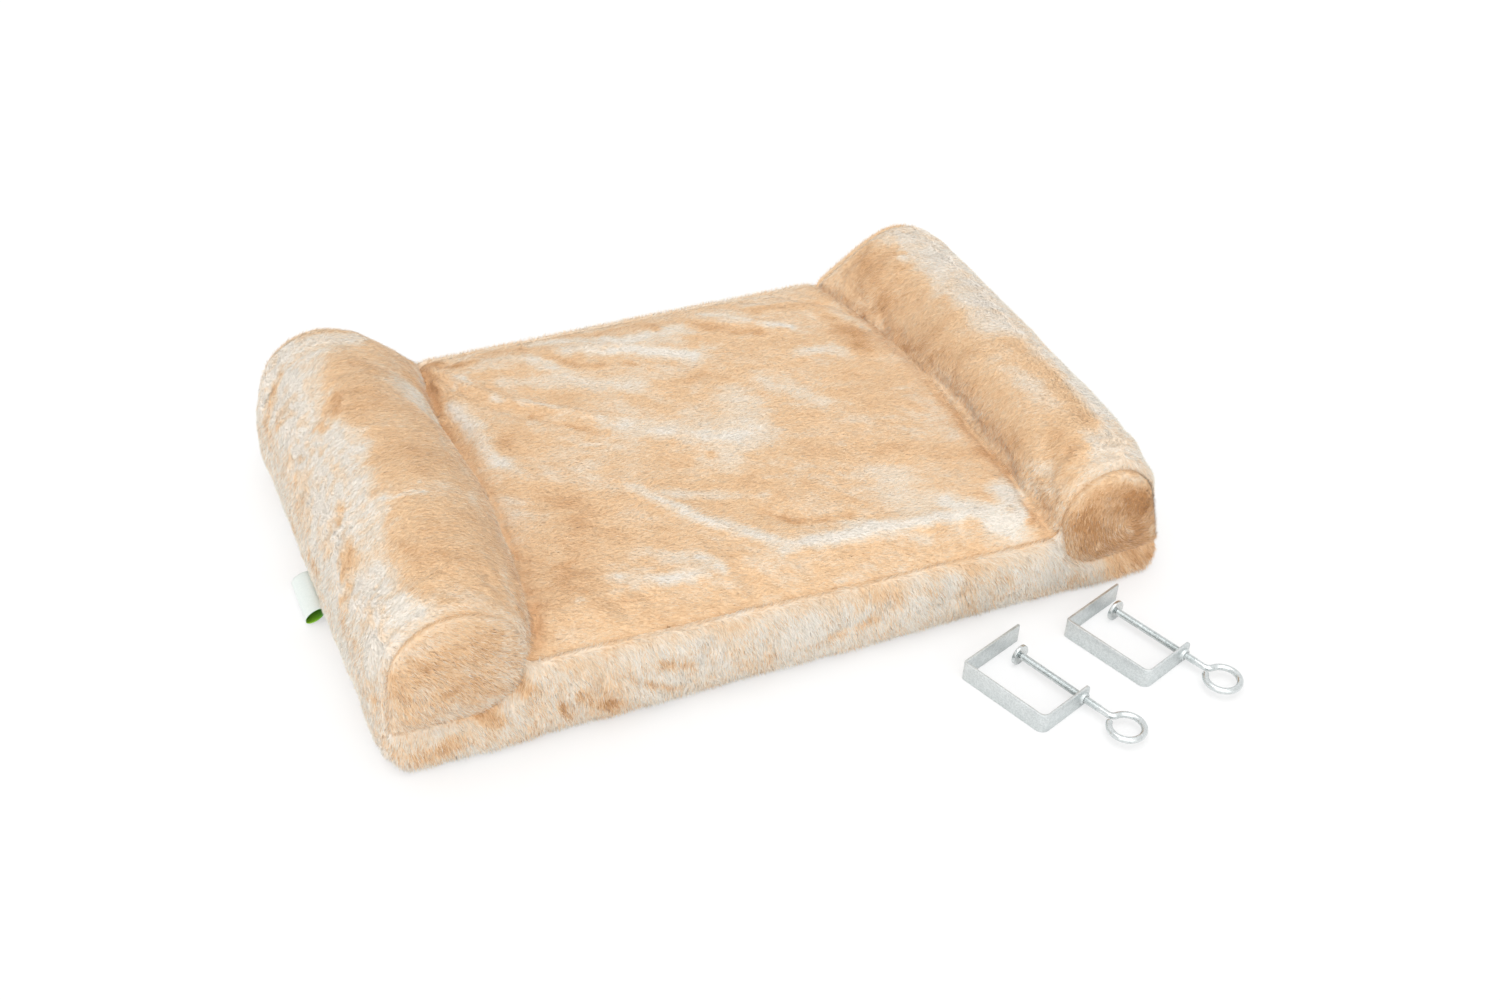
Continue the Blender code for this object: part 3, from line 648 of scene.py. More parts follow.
# %% [markdown]
# ## Which way the pile was brushed
#
# Short plush looks cream where its hairs lean towards the light and tan where they lean away, and a hand
# leaves soft smears of both. One number for each point, the nap, holds this: 0 is deep tan, 1 is cream. It
# is painted like a picture: a ground tone for each panel, then strokes, which are lines with a radius, and
# soft noise bends their edges. Each stroke lies where the camera sees it in the photograph.

# %% Strokes of the nap
# Some thin strokes lie on the folds and creases: the pale ones on a fold's ridge are painted highlights, and the dark
# ones in its valleys and along the creases beside the rolls are painted shade.
# strokes as tone, radius in millimetres and the points they run through, broad ones first
strokes = {
    "left_roll_cover": [
        (0.92, 25, [(310, 360), (300, 450), (300, 540), (330, 640), (365, 720)]),
        (0.85, 10, [(300, 345), (350, 338), (400, 355), (420, 380)]),
        (0.28, 22, [(345, 370), (345, 400), (390, 400), (400, 460), (420, 540), (440, 590)]),
        (0.95, 9, [(330, 425)]), (0.95, 10, [(355, 445), (365, 450)]), (0.95, 8, [(345, 465)]),
        (0.95, 6, [(355, 505), (352, 530), (345, 545)]),
        (0.9, 2.5, [(350, 500), (375, 497), (400, 491), (420, 490)]),
        (0.9, 2.5, [(350, 432), (370, 428), (400, 426)]), (0.8, 1.5, [(390, 478), (415, 478)]),
        (0.5, 4, [(415, 370), (440, 430), (470, 500), (500, 570), (520, 620)]),
        (0.95, 9, [(385, 615), (400, 612), (420, 618), (400, 630)]), (0.9, 6, [(365, 655)]),
        (0.6, 6, [(430, 605), (490, 600)]), (0.2, 8, [(335, 400), (370, 420)]),
        (0.3, 5, [(340, 500), (340, 520)]), (0.55, 9, [(275, 385), (268, 430)]),
        (0.5, 10, [(350, 560), (345, 620), (356, 690)]), (0.55, 9, [(374, 700), (384, 730)]),
        (0.62, 12, [(296, 470), (306, 540), (324, 600)]), (0.4, 3, [(287, 416), (272, 434)]),
        (0.35, 3.5, [(305, 430), (310, 452)]), (0.5, 3, [(289, 448), (292, 470)]), (0.3, 4, [(277, 384), (270, 400)]),
    ],
    "front_left_cap": [
        (0.2, 7, [(395, 680), (405, 700)]), (0.15, 8, [(450, 690), (480, 680)]),
        (0.6, 4, [(400, 650), (440, 630), (500, 625)]), (0.3, 6, [(400, 735)]),
    ],
    "seat_cover": [
        (0, 7, [(430, 395), (455, 450), (480, 510), (500, 560), (525, 620)]),
        (0.3, 22, [(500, 440), (560, 500), (600, 560), (560, 600)]), (0.2, 15, [(540, 600), (560, 640)]),
        (0.8, 14, [(620, 425), (680, 430), (720, 440), (740, 430)]),
        (0.82, 16, [(740, 400), (750, 430), (720, 460)]),
        (0.45, 7, [(560, 640), (640, 615), (740, 590), (800, 570), (900, 545), (1000, 535)]),
        (0.35, 10, [(600, 540), (640, 560)]), (0.3, 10, [(850, 370), (880, 380)]),
        (0.1, 10, [(840, 330), (860, 345)]), (0.75, 10, [(760, 380), (820, 400)]),
        (-0.1, 6, [(430, 365), (455, 365), (470, 360)]), (0.2, 7, [(480, 355), (520, 350)]),
        (0.25, 8, [(480, 378)]), (0.95, 3, [(424, 367), (463, 387), (500, 400), (560, 410), (600, 418)]),
        (0.9, 3, [(455, 385), (490, 395)]), (0.95, 8, [(455, 405), (475, 430), (490, 450), (505, 465)]),
        (0.8, 8, [(500, 385), (560, 380), (640, 385)]), (0.9, 8, [(540, 345), (620, 340), (680, 330)]),
        (0.95, 6, [(560, 350), (640, 350), (690, 355)]), (0.8, 7, [(530, 360), (570, 375)]),
        (0.1, 4, [(600, 335), (640, 325), (655, 330)]), (0.1, 4, [(545, 357), (580, 365), (630, 365)]),
        (0.05, 6, [(690, 325), (720, 330), (760, 335)]), (0.2, 5, [(700, 370), (690, 380)]),
        (0.25, 6, [(690, 345)]), (0.05, 3.5, [(530, 418), (560, 425), (600, 432)]),
        (0.6, 3, [(560, 440), (600, 445)]),
        (1, 6, [(640, 490), (670, 505), (700, 520), (740, 530), (780, 548)]),
        (1, 6, [(780, 548), (830, 540), (880, 525), (940, 515), (1000, 512), (1020, 500)]),
        (0.85, 6, [(660, 490), (720, 495), (760, 500)]),
        (1, 9, [(1000, 490), (1020, 505), (1030, 525), (1000, 525)]), (0.9, 7, [(950, 500), (980, 510)]),
        (0.3, 3, [(978, 497)]), (0, 4.5, [(760, 515), (800, 520), (850, 517)]),
        (0.3, 3, [(690, 480), (720, 478), (750, 475)]), (0.3, 5, [(710, 450)]),
        (0.9, 5, [(620, 580), (660, 585), (700, 575), (720, 565)]), (0.9, 5, [(700, 560), (720, 570)]),
        (0.7, 4, [(640, 590), (580, 600)]), (0.3, 8, [(860, 440), (900, 440), (880, 450)]),
        (0.1, 6, [(750, 310), (810, 305), (830, 320)]), (0.2, 5, [(740, 310), (760, 312)]),
        (0.95, 4, [(700, 315), (740, 322), (790, 328)]), (0.85, 6, [(800, 350), (830, 345), (850, 355)]),
        (0.6, 8, [(900, 480), (860, 470), (820, 460)]),
        (0, 8, [(940, 385), (965, 425), (985, 450), (1005, 470)]), (-0.1, 3.5, [(1040, 520), (1038, 527)]),
        (0.8, 6, [(865, 300), (880, 320), (895, 345), (905, 355)]), (0.85, 5, [(840, 285), (850, 270), (855, 262)]),
    ],
    "right_roll_cover": [
        (0.3, 14, [(895, 280), (930, 320), (960, 360), (990, 400), (1020, 430)]),
        (0.9, 12, [(880, 232), (910, 232), (945, 260), (985, 300), (1020, 340), (1080, 390), (1120, 430),
                   (1150, 470)]),
        (0.3, 14, [(1000, 340), (1040, 370), (1080, 420)]),
        (0.15, 9, [(865, 255), (870, 275), (885, 310), (900, 330), (920, 350)]),
        (0.15, 4, [(905, 255), (880, 260)]), (0.75, 8, [(960, 270), (940, 290)]),
        (0.6, 8, [(1040, 460), (1060, 480), (1040, 490)]), (0.2, 8, [(1060, 430), (1080, 450)]),
    ],
    "front_right_cap": [
        (0, 10, [(1100, 500), (1130, 495), (1150, 510)]), (-0.1, 7, [(1080, 520), (1090, 540)]),
        (-0.1, 9, [(1110, 540), (1140, 540)]), (0.4, 3, [(1125, 530)]), (0.3, 2, [(1105, 510)]),
        (0.7, 4, [(1095, 482), (1125, 476), (1148, 488)]), (0.6, 3, [(1095, 545), (1090, 555)]),
        (0.6, 6, [(1072, 500), (1082, 490)]), (0.5, 2.5, [(1126, 528), (1130, 534)]),
        (0.55, 2.5, [(1152, 525), (1152, 545)]),
    ],
    "front_band": [
        (0.5, 6, [(560, 665), (640, 645), (740, 618), (800, 602), (900, 578), (1000, 552), (1040, 542)]),
        (0.5, 6, [(800, 615), (850, 600), (900, 590)]), (0.4, 9, [(400, 750), (450, 735), (500, 715)]),
        (1, 7, [(700, 670), (800, 640), (900, 615), (1000, 590), (1080, 570)]),
        (0.1, 8, [(470, 700), (490, 705), (450, 715)]), (0.3, 6, [(520, 690), (540, 690)]),
        (1, 2.5, [(505, 690), (515, 710), (525, 722)]), (0.9, 6, [(440, 725), (470, 725), (510, 725)]),
        (0.8, 4, [(550, 690)]), (-0.1, 4, [(560, 705), (575, 715)]), (0, 5, [(585, 690), (610, 700)]),
        (-0.15, 3, [(620, 675), (650, 683), (680, 688)]), (0, 4, [(660, 662), (700, 664), (715, 665)]),
        (0.15, 6, [(420, 755), (450, 745)]), (0.8, 4, [(600, 690), (650, 697)]),
        (0.9, 4, [(650, 675), (680, 680)]), (0.15, 4, [(830, 635), (850, 625), (880, 615)]),
        (0.1, 4, [(950, 600), (980, 585)]), (0.1, 3, [(990, 597)]),
        (0.0, 13, [(1122, 562), (1148, 553)]), (0.85, 6, [(1050, 575), (1095, 572)]),
    ],
}

# %% Paint the nap
ground_tones = {
    "left_roll_cover": (0.30, 0.92), "right_roll_cover": (0.85, 0.80), "seat_cover": (0.45, 0.45),
    "front_band": (0.84, 0.84), "rear_band": (0.65, 0.65), "front_left_cap": (0.42, 0.42),
    "front_right_cap": (0.0, 0.0), "rear_left_cap": (0.4, 0.4), "rear_right_cap": (0.4, 0.4),
}
warps = ((0.025, 0.006), (0.006, 0.002))
stroke_strength = 1
# painted shade: the distances from each crease over which the seat is darkened
crease_shade = (0.002, 0.022)
blotch_sizes = ((0.032, 0.11), (0.012, 0.10), (0.005, 0.10))
wall_blotches = ((0.018, 0.12), (0.009, 0.22), (0.004, 0.30))  # on the outer side of each roll
streak_direction = np.array((0.9, -0.43, 0.0))
hanging = np.array((0.12, 0.0, -1.0))
streak_stretch = 0.6
side_unevenness = 1.2
seat_unevenness = 1.5
side_glitter = 0.35
rim_tones = {"front_left_cap": 0.62, "front_right_cap": 0.5, "rear_left_cap": 0.6, "rear_right_cap": 0.6,
             "left_roll_cover": 0.72, "right_roll_cover": 0.7}
rim_width = (0.001, 0.011)
rim_strength = 0.65
# painted shade along the seams: how dark and how wide the line is, and the size of its uneven patches
seam_shade, seam_line = 0.34, 0.0016
seam_patches = 0.022


def unevenness(outwards):
    """How much more uneven the pile is where the surface doesn't face up: 1 on top."""
    return 1 + side_unevenness * ease(1 - outwards[:, 2], 0.3, 0.9)


def nap_of(name, points, outwards):
    """The nap of a panel at these points."""
    top, wall = ground_tones[name]
    nap = wall + (top - wall) * ease(outwards[:, 2], 0.1, 0.6)
    if name == "left_roll_cover":
        nap = top + (wall - top) * ease(-outwards[:, 0], 0.15, 0.5)
    if name == "right_roll_cover":
        nap += (0.38 - nap) * ease(-outwards[:, 0], 0.1, 0.5)
    bent = points.copy()
    for number, (size, reach) in enumerate(warps):
        for axis in range(3):
            bent[:, axis] += reach * soft_noise(points, size, 10 * number + axis)
    for tone, radius, pixels in strokes.get(name, []):
        path = [seen_at(skin_tree, pixel) for pixel in pixels]
        path = np.array(path if len(path) > 1 else [path[0], path[0] + merge_distance])
        cover = 1 - ease(distance_to_path(bent, path), 0.1 * radius / 1000, 1.6 * radius / 1000)
        nap += (tone - nap) * stroke_strength * cover
    along = hanging if name.endswith("band") else streak_direction
    streaked = bent - streak_stretch * (bent @ along)[:, None] * along
    rough = unevenness(outwards) * (seat_unevenness if name == "seat_cover" else 1)
    for seed, (size, amount) in enumerate(blotch_sizes):
        nap += amount * rough * soft_noise(streaked, size, 50 + seed)
    if "roll" in name:
        side = -1 if "left" in name else 1
        for seed, (size, amount) in enumerate(wall_blotches):
            nap += amount * ease(side * outwards[:, 0], 0.15, 0.6) * soft_noise(bent, size, 60 + seed)
    # painted shade: the seat turns deep tan along the creases beside the rolls
    if name == "seat_cover":
        for side, tone in ((-1, 0.02), (1, 0.2)):
            beside = distance_to_path(bent, creases[side])
            nap += (tone - nap) * (1 - ease(beside, *crease_shade))
    gap = seam_distance(points, with_creases=False)
    if name in rim_tones:
        nap += (rim_tones[name] - nap) * rim_strength * (1 - ease(gap, *rim_width))
    # painted shade: a thin dark line along every seam, uneven along its length
    uneven = 0.5 + 0.5 * soft_noise(points, seam_patches, 90)
    return nap - seam_shade * uneven * np.exp(-(gap / seam_line) ** 2)


def keep_numbers(mesh, name, values, domain="POINT"):
    """Stores one number for each point as a named attribute, which a material can read."""
    mesh.attributes.new(name, "FLOAT", domain).data.foreach_set("value", np.asarray(values, np.float32))


for name, panel in panels.items():
    nap = nap_of(name, coordinates(panel), normals(panel))
    keep_numbers(panel.data, "nap", nap)
    print(f"{panel.name}: nap from {nap.min():.2f} to {nap.max():.2f}, {nap.mean():.2f} on average")

# %% [markdown]
# ## The pile
#
# Real plush has millions of hairs. Here each tuft of them is one thin pointed sliver, a closed shape of four
# triangles, planted on the skin and leaning the way the nap was brushed. A hair particle system would look
# as good in a render, but it isn't a mesh and would be lost in the exported model. The slivers are short and
# lie low, so together they read as velvet, and they soften the outline as real pile does.

# %% Plant the tufts
tuft_density = 1.02e6
tuft_width = 0.00048
tuft_sink = 0.0003
tuft_clearance = 0.0004  # how far the tips stay above the floor
tuft_tilt = 0.32  # how unevenly the tufts catch the light
clump_size = 0.0022
clump_stretch = 0.65
clump_contrast = 0.36
seam_cover = (-0.0022, 0.0014)  # the tufts grow to full length between these distances from a seam
stray_share = 0.08
stray_lean = math.radians(22)
zip_patch = (0.1695, 0.0122, 0.0318)  # half length, bottom and top of the place where the zip is sewn on
most_tufts = 49000
shortest_tuft = 0.0007
length_spread = (0.75, 1.15)  # share of the panel's tuft length
width_spread = (0.8, 1.25)
turn_spread = 0.2
lean_spread, lean_limits, clump_lean = 0.2, (0.4, 1.8), 0.3
nap_spread = 0.09
pile_rules = {  # length of a tuft in metres, and its lean from the surface in degrees
    "seat_cover": (0.0036, 19), "left_roll_cover": (0.0038, 21), "right_roll_cover": (0.0038, 21),
    "front_band": (0.0046, 25), "rear_band": (0.0046, 25), "front_left_cap": (0.004, 33),
    "front_right_cap": (0.004, 33), "rear_left_cap": (0.004, 33), "rear_right_cap": (0.004, 33),
}


def brushed(name, points, outwards):
    """The direction in which the tufts lie, before it is laid flat on the surface."""
    lie = np.tile((0.9, -0.43, 0.0), (len(points), 1))
    down = np.array((0.0, -0.15, -1.0))
    wall = 1 - ease(outwards[:, 2], 0.2, 0.6)[:, None]
    if name == "left_roll_cover":
        lie += (down - lie) * wall
    elif name == "right_roll_cover":
        lie[:] = (-1, -0.2, -0.6)
        lie += (down - lie) * ease(outwards[:, 0], 0.1, 0.5)[:, None]
    elif name.endswith("band"):
        lie[:] = (0.12, 0, -1)
    elif name == "front_right_cap":
        centre = points.mean(axis=0)
        lie = np.cross(points - centre, (0.0, 1.0, 0.0)) * 30 + (0, 0, -0.3)
    elif name.endswith("cap"):
        lie[:] = (0.8, 0, -0.5)
    return lie


def turned_about(vectors, axes, angles):
    """Vectors turned about unit axes that stand at right angles to them."""
    return vectors * np.cos(angles)[:, None] + np.cross(axes, vectors) * np.sin(angles)[:, None]


def unit(vectors):
    return vectors / np.maximum(np.linalg.norm(vectors, axis=1), 1e-12)[:, None]


def plant(name, panel):
    """Random places on a panel, evenly spread, with their normals and nap."""
    mesh = panel.data
    mesh.calc_loop_triangles()
    corners = np.empty(len(mesh.loop_triangles) * 3, np.int32)
    mesh.loop_triangles.foreach_get("vertices", corners)
    corners = corners.reshape(-1, 3)
    points, outwards = coordinates(panel), normals(panel)
    nap = np.empty(len(points), np.float32)
    mesh.attributes["nap"].data.foreach_get("value", nap)
    random = np.random.default_rng(cover_names.index(name))
    a, b, c = (points[corners[:, i]] for i in range(3))
    areas = np.linalg.norm(np.cross(b - a, c - a), axis=1) / 2
    reach = np.concatenate([[0], np.cumsum(areas)])
    count = int(reach[-1] * tuft_density)
    stops = (np.arange(count) + random.random(count)) * reach[-1] / count
    chosen = corners[np.clip(np.searchsorted(reach, stops) - 1, 0, len(corners) - 1)]
    u, v = np.sqrt(random.random(count)), random.random(count)
    shares = np.stack([1 - u, u * (1 - v), u * v], axis=1)
    mix = lambda values: (values[chosen] * shares[..., None]).sum(axis=1)
    return mix(points), unit(mix(outwards)), (nap[chosen] * shares).sum(axis=1), random


def tuft_mesh(title, roots, up, along, width, nap, shine):
    """A mesh of closed slivers, shaded with the normals in shine. Its map gives each one its own small square."""
    count = len(roots)
    across = np.cross(up, unit(along)) * width[:, None] / 2
    base = roots - up * tuft_sink
    points = np.stack([base - across, base + across, base + up * width[:, None] * 0.4, base + along], axis=1)
    faces = np.array([(0, 3, 2), (1, 2, 3), (0, 1, 3), (0, 2, 1)])
    corners = (np.arange(count)[:, None, None] * 4 + faces).ravel()
    mesh = bpy.data.meshes.new(title)
    mesh.vertices.add(count * 4)
    mesh.loops.add(count * 12)
    mesh.polygons.add(count * 4)
    mesh.vertices.foreach_set("co", points.ravel())
    mesh.loops.foreach_set("vertex_index", corners)
    mesh.polygons.foreach_set("loop_start", np.arange(0, count * 12, 3))
    mesh.update(calc_edges=True)
    mesh.shade_smooth()
    mesh.normals_split_custom_set_from_vertices(np.repeat(shine, 4, axis=0))
    keep_numbers(mesh, "nap", np.repeat(nap, 4))
    keep_numbers(mesh, "tip", np.tile((0, 0, 0.2, 1), count))
    cells = math.ceil(math.sqrt(count))
    square = np.stack([np.arange(count) % cells, np.arange(count) // cells], axis=1)[:, None, :]
    spots = np.array([(0.15, 0.1), (0.85, 0.1), (0.5, 0.3), (0.5, 0.9)])
    places = ((square + spots) / cells).reshape(-1, 2)[corners]
    mesh.uv_layers.new(name="OFBake").data.foreach_set("uv", places.ravel())
    item = bpy.data.objects.new(title, mesh)
    bpy.context.scene.collection.objects.link(item)
    return item


piles = []
for name, panel in panels.items():
    length, lean = pile_rules[name]
    roots, up, nap, random = plant(name, panel)
    gap = seam_distance(roots, with_creases=False)
    lie = brushed(name, roots, up)
    lie = unit(lie - up * (lie * up).sum(axis=1)[:, None])
    angles = 0.45 * soft_noise(roots, 0.028, 70) + 0.25 * soft_noise(roots, 0.009, 71)
    lie = turned_about(lie, up, angles + random.normal(0, turn_spread, len(roots)))
    drawn = roots - clump_stretch * (roots * lie).sum(axis=1)[:, None] * lie
    clump = soft_noise(drawn, clump_size, 72)
    leans = np.radians(lean) * (1 + clump_lean * clump) * random.normal(1, lean_spread, len(roots)).clip(*lean_limits)
    leans += stray_lean * (random.random(len(roots)) < stray_share)
    lengths = length * random.uniform(*length_spread, len(roots)) * ease(gap, *seam_cover)
    along = (lie * np.cos(leans)[:, None] + up * np.sin(leans)[:, None]) * lengths[:, None]
    along[:, 2] = np.maximum(along[:, 2], tuft_clearance - roots[:, 2])
    uneven = unevenness(up)
    nap = nap + uneven * (clump_contrast * clump + random.normal(0, nap_spread, len(roots)))
    keep = (lengths > shortest_tuft) & (roots[:, 2] > hem_height)
    if name == "rear_band":
        keep &= ~((abs(roots[:, 0]) < zip_patch[0]) & (roots[:, 2] > zip_patch[1]) & (roots[:, 2] < zip_patch[2]))
    order = np.argsort(roots[keep, 1])
    parts = np.array_split(order, math.ceil(len(order) / most_tufts))
    for number, part in enumerate(parts):
        title = f"pile_{name}_{number + 1}" if len(parts) > 1 else f"pile_{name}"
        width = tuft_width * random.uniform(*width_spread, len(part))
        chosen = np.nonzero(keep)[0][part]
        tilt = tuft_tilt * (1 + side_glitter * (uneven[chosen, None] - 1))
        shine = unit(up[chosen] + tilt * random.normal(0, 1, (len(part), 3)))
        pile = tuft_mesh(title, roots[chosen], up[chosen], along[chosen], width, nap[chosen], shine)
        piles.append((pile, name))
    print(f"{name}: {len(order)} tufts in {len(parts)} meshes")

# %% [markdown]
# ## The backing of the plush
#
# Each panel gets the thickness of its knitted backing, inwards, so that it is a closed piece of cloth. Its map
# is drawn on the panel as the panel would lie on the cutting table: a roll's panel is unrolled round its axis,
# and the others are flat already.

# %% Back and map the panels
cloth_thickness = 0.0015
backing_share = 0.8


def cutting_table(name, points):
    """Where each point of a panel lies when the panel is spread flat."""
    if "roll" not in name:
        return points[:, [0, 1]] if name == "seat_cover" else points[:, [0, 2]]
    side = -1 if "left" in name else 1
    low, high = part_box(f"{name.split('_')[0]}_roll_foam")
    across, up = points[:, 0] - (low.x + high.x) / 2, points[:, 2] - (low.z + high.z) / 2
    radius = (high.x - low.x) / 2
    around = radius * np.arctan2(side * across, up)
    around += np.where((side * across > 0) & (up < 0), -up - radius * (np.arctan2(side * across, up) - math.pi / 2), 0)
    return np.stack([around, points[:, 1]], axis=1)


for name, panel in panels.items():
    mesh = panel.data
    flat = cutting_table(name, coordinates(panel))
    flat = (flat - flat.min(axis=0)) / (flat.max(axis=0) - flat.min(axis=0))
    corners = np.empty(len(mesh.loops), np.int32)
    mesh.loops.foreach_get("vertex_index", corners)
    mesh.uv_layers.new(name="OFBake").data.foreach_set("uv", (flat[corners] * (1, backing_share)).ravel())
    outer_corners = len(mesh.loops)
    backing = panel.modifiers.new("backing", "SOLIDIFY")
    backing.thickness = cloth_thickness
    backing.offset = -1
    apply_modifiers(panel)
    layer = mesh.uv_layers["OFBake"].data
    places = np.empty(len(mesh.loops) * 2, np.float32)
    layer.foreach_get("uv", places)
    places = places.reshape(-1, 2)
    places[outer_corners:] *= (0.3, (1 - backing_share) / backing_share)
    places[outer_corners:, 1] += backing_share
    layer.foreach_set("uv", places.ravel())
    print(f"{panel.name}: {len(mesh.polygons)} faces with its backing")

# %% [markdown]
# ## The colour of the plush
#
# The backing and the pile share one effect: it turns the nap into a colour between deep tan and cream, and
# darkens the foot of a tuft, where little light gets in. So it is a node group, built once. Plush glows at
# its edges where the light grazes the hair tips; this is the shader's sheen.

# %% Colours and the nap group
def colour(red, green, blue):
    """A colour picked on a screen, 0 to 255 for each channel, as the linear values that shaders use."""
    return [((value / 255 + 0.055) / 1.055) ** 2.4 for value in (red, green, blue)] + [1]


nap_range = (-0.2, 1.1)
nap_colours = [(-0.2, colour(208, 155, 106)), (0, colour(231, 185, 140)), (0.35, colour(250, 211, 168)),
               (0.7, colour(252, 230, 204)), (1, colour(253, 243, 230))]


def new_group(title, inputs, outputs):
    """A node group, its nodes, its links, its input and its output. Each socket is a number, except Colour."""
    group = bpy.data.node_groups.new(title, "ShaderNodeTree")
    for way, names in (("INPUT", inputs), ("OUTPUT", outputs)):
        for name in names:
            kind = "NodeSocketColor" if name == "Colour" else "NodeSocketFloat"
            group.interface.new_socket(name, in_out=way, socket_type=kind)
    ends = [group.nodes.new(f"NodeGroup{end}") for end in ("Input", "Output")]
    return group, group.nodes, group.links, *ends


nap_group, tree, links, given, result = new_group("nap colour", ("Nap", "Light at the tip"), ("Colour",))
spread = tree.new("ShaderNodeMapRange")
spread.inputs["From Min"].default_value, spread.inputs["From Max"].default_value = nap_range
ramp = tree.new("ShaderNodeValToRGB")
ramp.color_ramp.interpolation = "EASE"
for number, (nap, tint) in enumerate(nap_colours):
    spot = (nap - nap_range[0]) / (nap_range[1] - nap_range[0])
    stop = ramp.color_ramp.elements[0] if number == 0 else ramp.color_ramp.elements.new(spot)
    stop.position, stop.color = spot, tint
ramp.color_ramp.elements[-1].color = nap_colours[-1][1]
dim = tree.new("ShaderNodeMix")
dim.data_type, dim.blend_type = "RGBA", "MULTIPLY"
dim.inputs["Factor"].default_value = 1
dim.clamp_result = True
links.new(given.outputs["Nap"], spread.inputs["Value"])
links.new(spread.outputs["Result"], ramp.inputs["Fac"])
links.new(ramp.outputs["Color"], dim.inputs[6])
links.new(given.outputs["Light at the tip"], dim.inputs[7])
links.new(dim.outputs[2], result.inputs["Colour"])


def new_finish(title, roughness, **sockets):
    """A material, its nodes, its links and its shader. Spaces in socket names are written as underscores."""
    finish = bpy.data.materials.new(title)
    finish.use_nodes = True
    shader = finish.node_tree.nodes["Principled BSDF"]
    shader.inputs["Roughness"].default_value = roughness
    for socket, value in sockets.items():
        shader.inputs[socket.replace("_", " ")].default_value = value
    return finish, finish.node_tree.nodes, finish.node_tree.links, shader


def add_noise(tree, links, scale, detail=3, stretch=None):
    """Noise on the object's own coordinates, stretched by a Mapping where wanted."""
    noise = tree.new("ShaderNodeTexNoise")
    noise.inputs["Scale"].default_value = scale
    noise.inputs["Detail"].default_value = detail
    place = tree.new("ShaderNodeTexCoord").outputs["Object"]
    if stretch:
        mapping = tree.new("ShaderNodeMapping")
        mapping.inputs["Scale"].default_value = stretch
        links.new(place, mapping.inputs["Vector"])
        place = mapping.outputs["Vector"]
    links.new(place, noise.inputs["Vector"])
    return noise.outputs["Fac"]


def add_bump(tree, links, shader, height, strength, distance):
    bump = tree.new("ShaderNodeBump")
    bump.inputs["Strength"].default_value = strength
    bump.inputs["Distance"].default_value = distance
    links.new(height, bump.inputs["Height"])
    links.new(bump.outputs["Normal"], shader.inputs["Normal"])


def add_range(tree, links, value, low, high, from_low=0, from_high=1):
    spread = tree.new("ShaderNodeMapRange")
    spread.inputs["From Min"].default_value = from_low
    spread.inputs["From Max"].default_value = from_high
    spread.inputs["To Min"].default_value = low
    spread.inputs["To Max"].default_value = high
    links.new(value, spread.inputs["Value"])
    return spread.outputs["Result"]


def add_tints(tree, links, value, dark, light, socket, stops=(0, 1)):
    """A ramp from a dark to a light tint, driven by a value, on a colour socket."""
    tints = tree.new("ShaderNodeValToRGB")
    for stop, spot, tint in zip(tints.color_ramp.elements, stops, (dark, light)):
        stop.position, stop.color = spot, colour(*tint)
    links.new(value, tints.inputs["Fac"])
    links.new(tints.outputs["Color"], socket)


def add_nap_colour(tree, links, shader, light, wobble=None):
    """Nap colour on the shader, from the piece's nap attribute and a value for the light at the tip."""
    group = tree.new("ShaderNodeGroup")
    group.node_tree = nap_group
    nap = tree.new("ShaderNodeAttribute")
    nap.attribute_name = "nap"
    source = nap.outputs["Fac"]
    if wobble:
        total = tree.new("ShaderNodeMath")
        links.new(source, total.inputs[0])
        links.new(wobble, total.inputs[1])
        source = total.outputs[0]
    links.new(source, group.inputs["Nap"])
    links.new(light, group.inputs["Light at the tip"])
    links.new(group.outputs["Colour"], shader.inputs["Base Color"])


# %% Plush backing and plush pile
backing_finish, tree, links, shader = new_finish("plush backing", 0.95, Specular_IOR_Level=0.1)
grain_and_shade = add_noise(tree, links, 900, 2)
# painted shade: the grain scales the backing's colour to 0.82 to 1.02, darker on average, for the shade of the pile
# over it
add_nap_colour(tree, links, shader, add_range(tree, links, grain_and_shade, 0.82, 1.02),
               add_range(tree, links, add_noise(tree, links, 260, 2), -0.15, 0.15))
add_bump(tree, links, shader, grain_and_shade, 0.5, 0.0006)

pile_finish, tree, links, shader = new_finish("plush pile", 0.9, Specular_IOR_Level=0.12, Sheen_Weight=0.25,
                                              Sheen_Roughness=0.5)
tip = tree.new("ShaderNodeAttribute")
tip.attribute_name = "tip"
add_nap_colour(tree, links, shader, add_range(tree, links, tip.outputs["Fac"], 0.93, 1.12))

for name, panel in panels.items():
    panel.data.materials.append(backing_finish)
    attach(panel, "bed")
    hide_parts(name)
for pile, name in piles:
    pile.data.materials.append(pile_finish)
    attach(pile, "bed")
print(f"{len(panels)} panels and {len(piles)} pile meshes are finished")

# %% [markdown]
# ## What is inside and below
#
# The foam slab and the two foam rolls fill the cover, and the board lies under them. Nobody sees them on the
# finished bed, but they are pieces of it. Foam is cut with a hot wire, so its edges are a little rounded: a
# voxel remesh of the CAD solid does that. A shrinkwrap keeps it inside the plush, but leaves a lone point outside
# here and there, where the skin is creased, so a smoothing follows.

# %% Foam
foam_voxel = 0.007
foam_depth = 0.0045
foam_rounds = 10


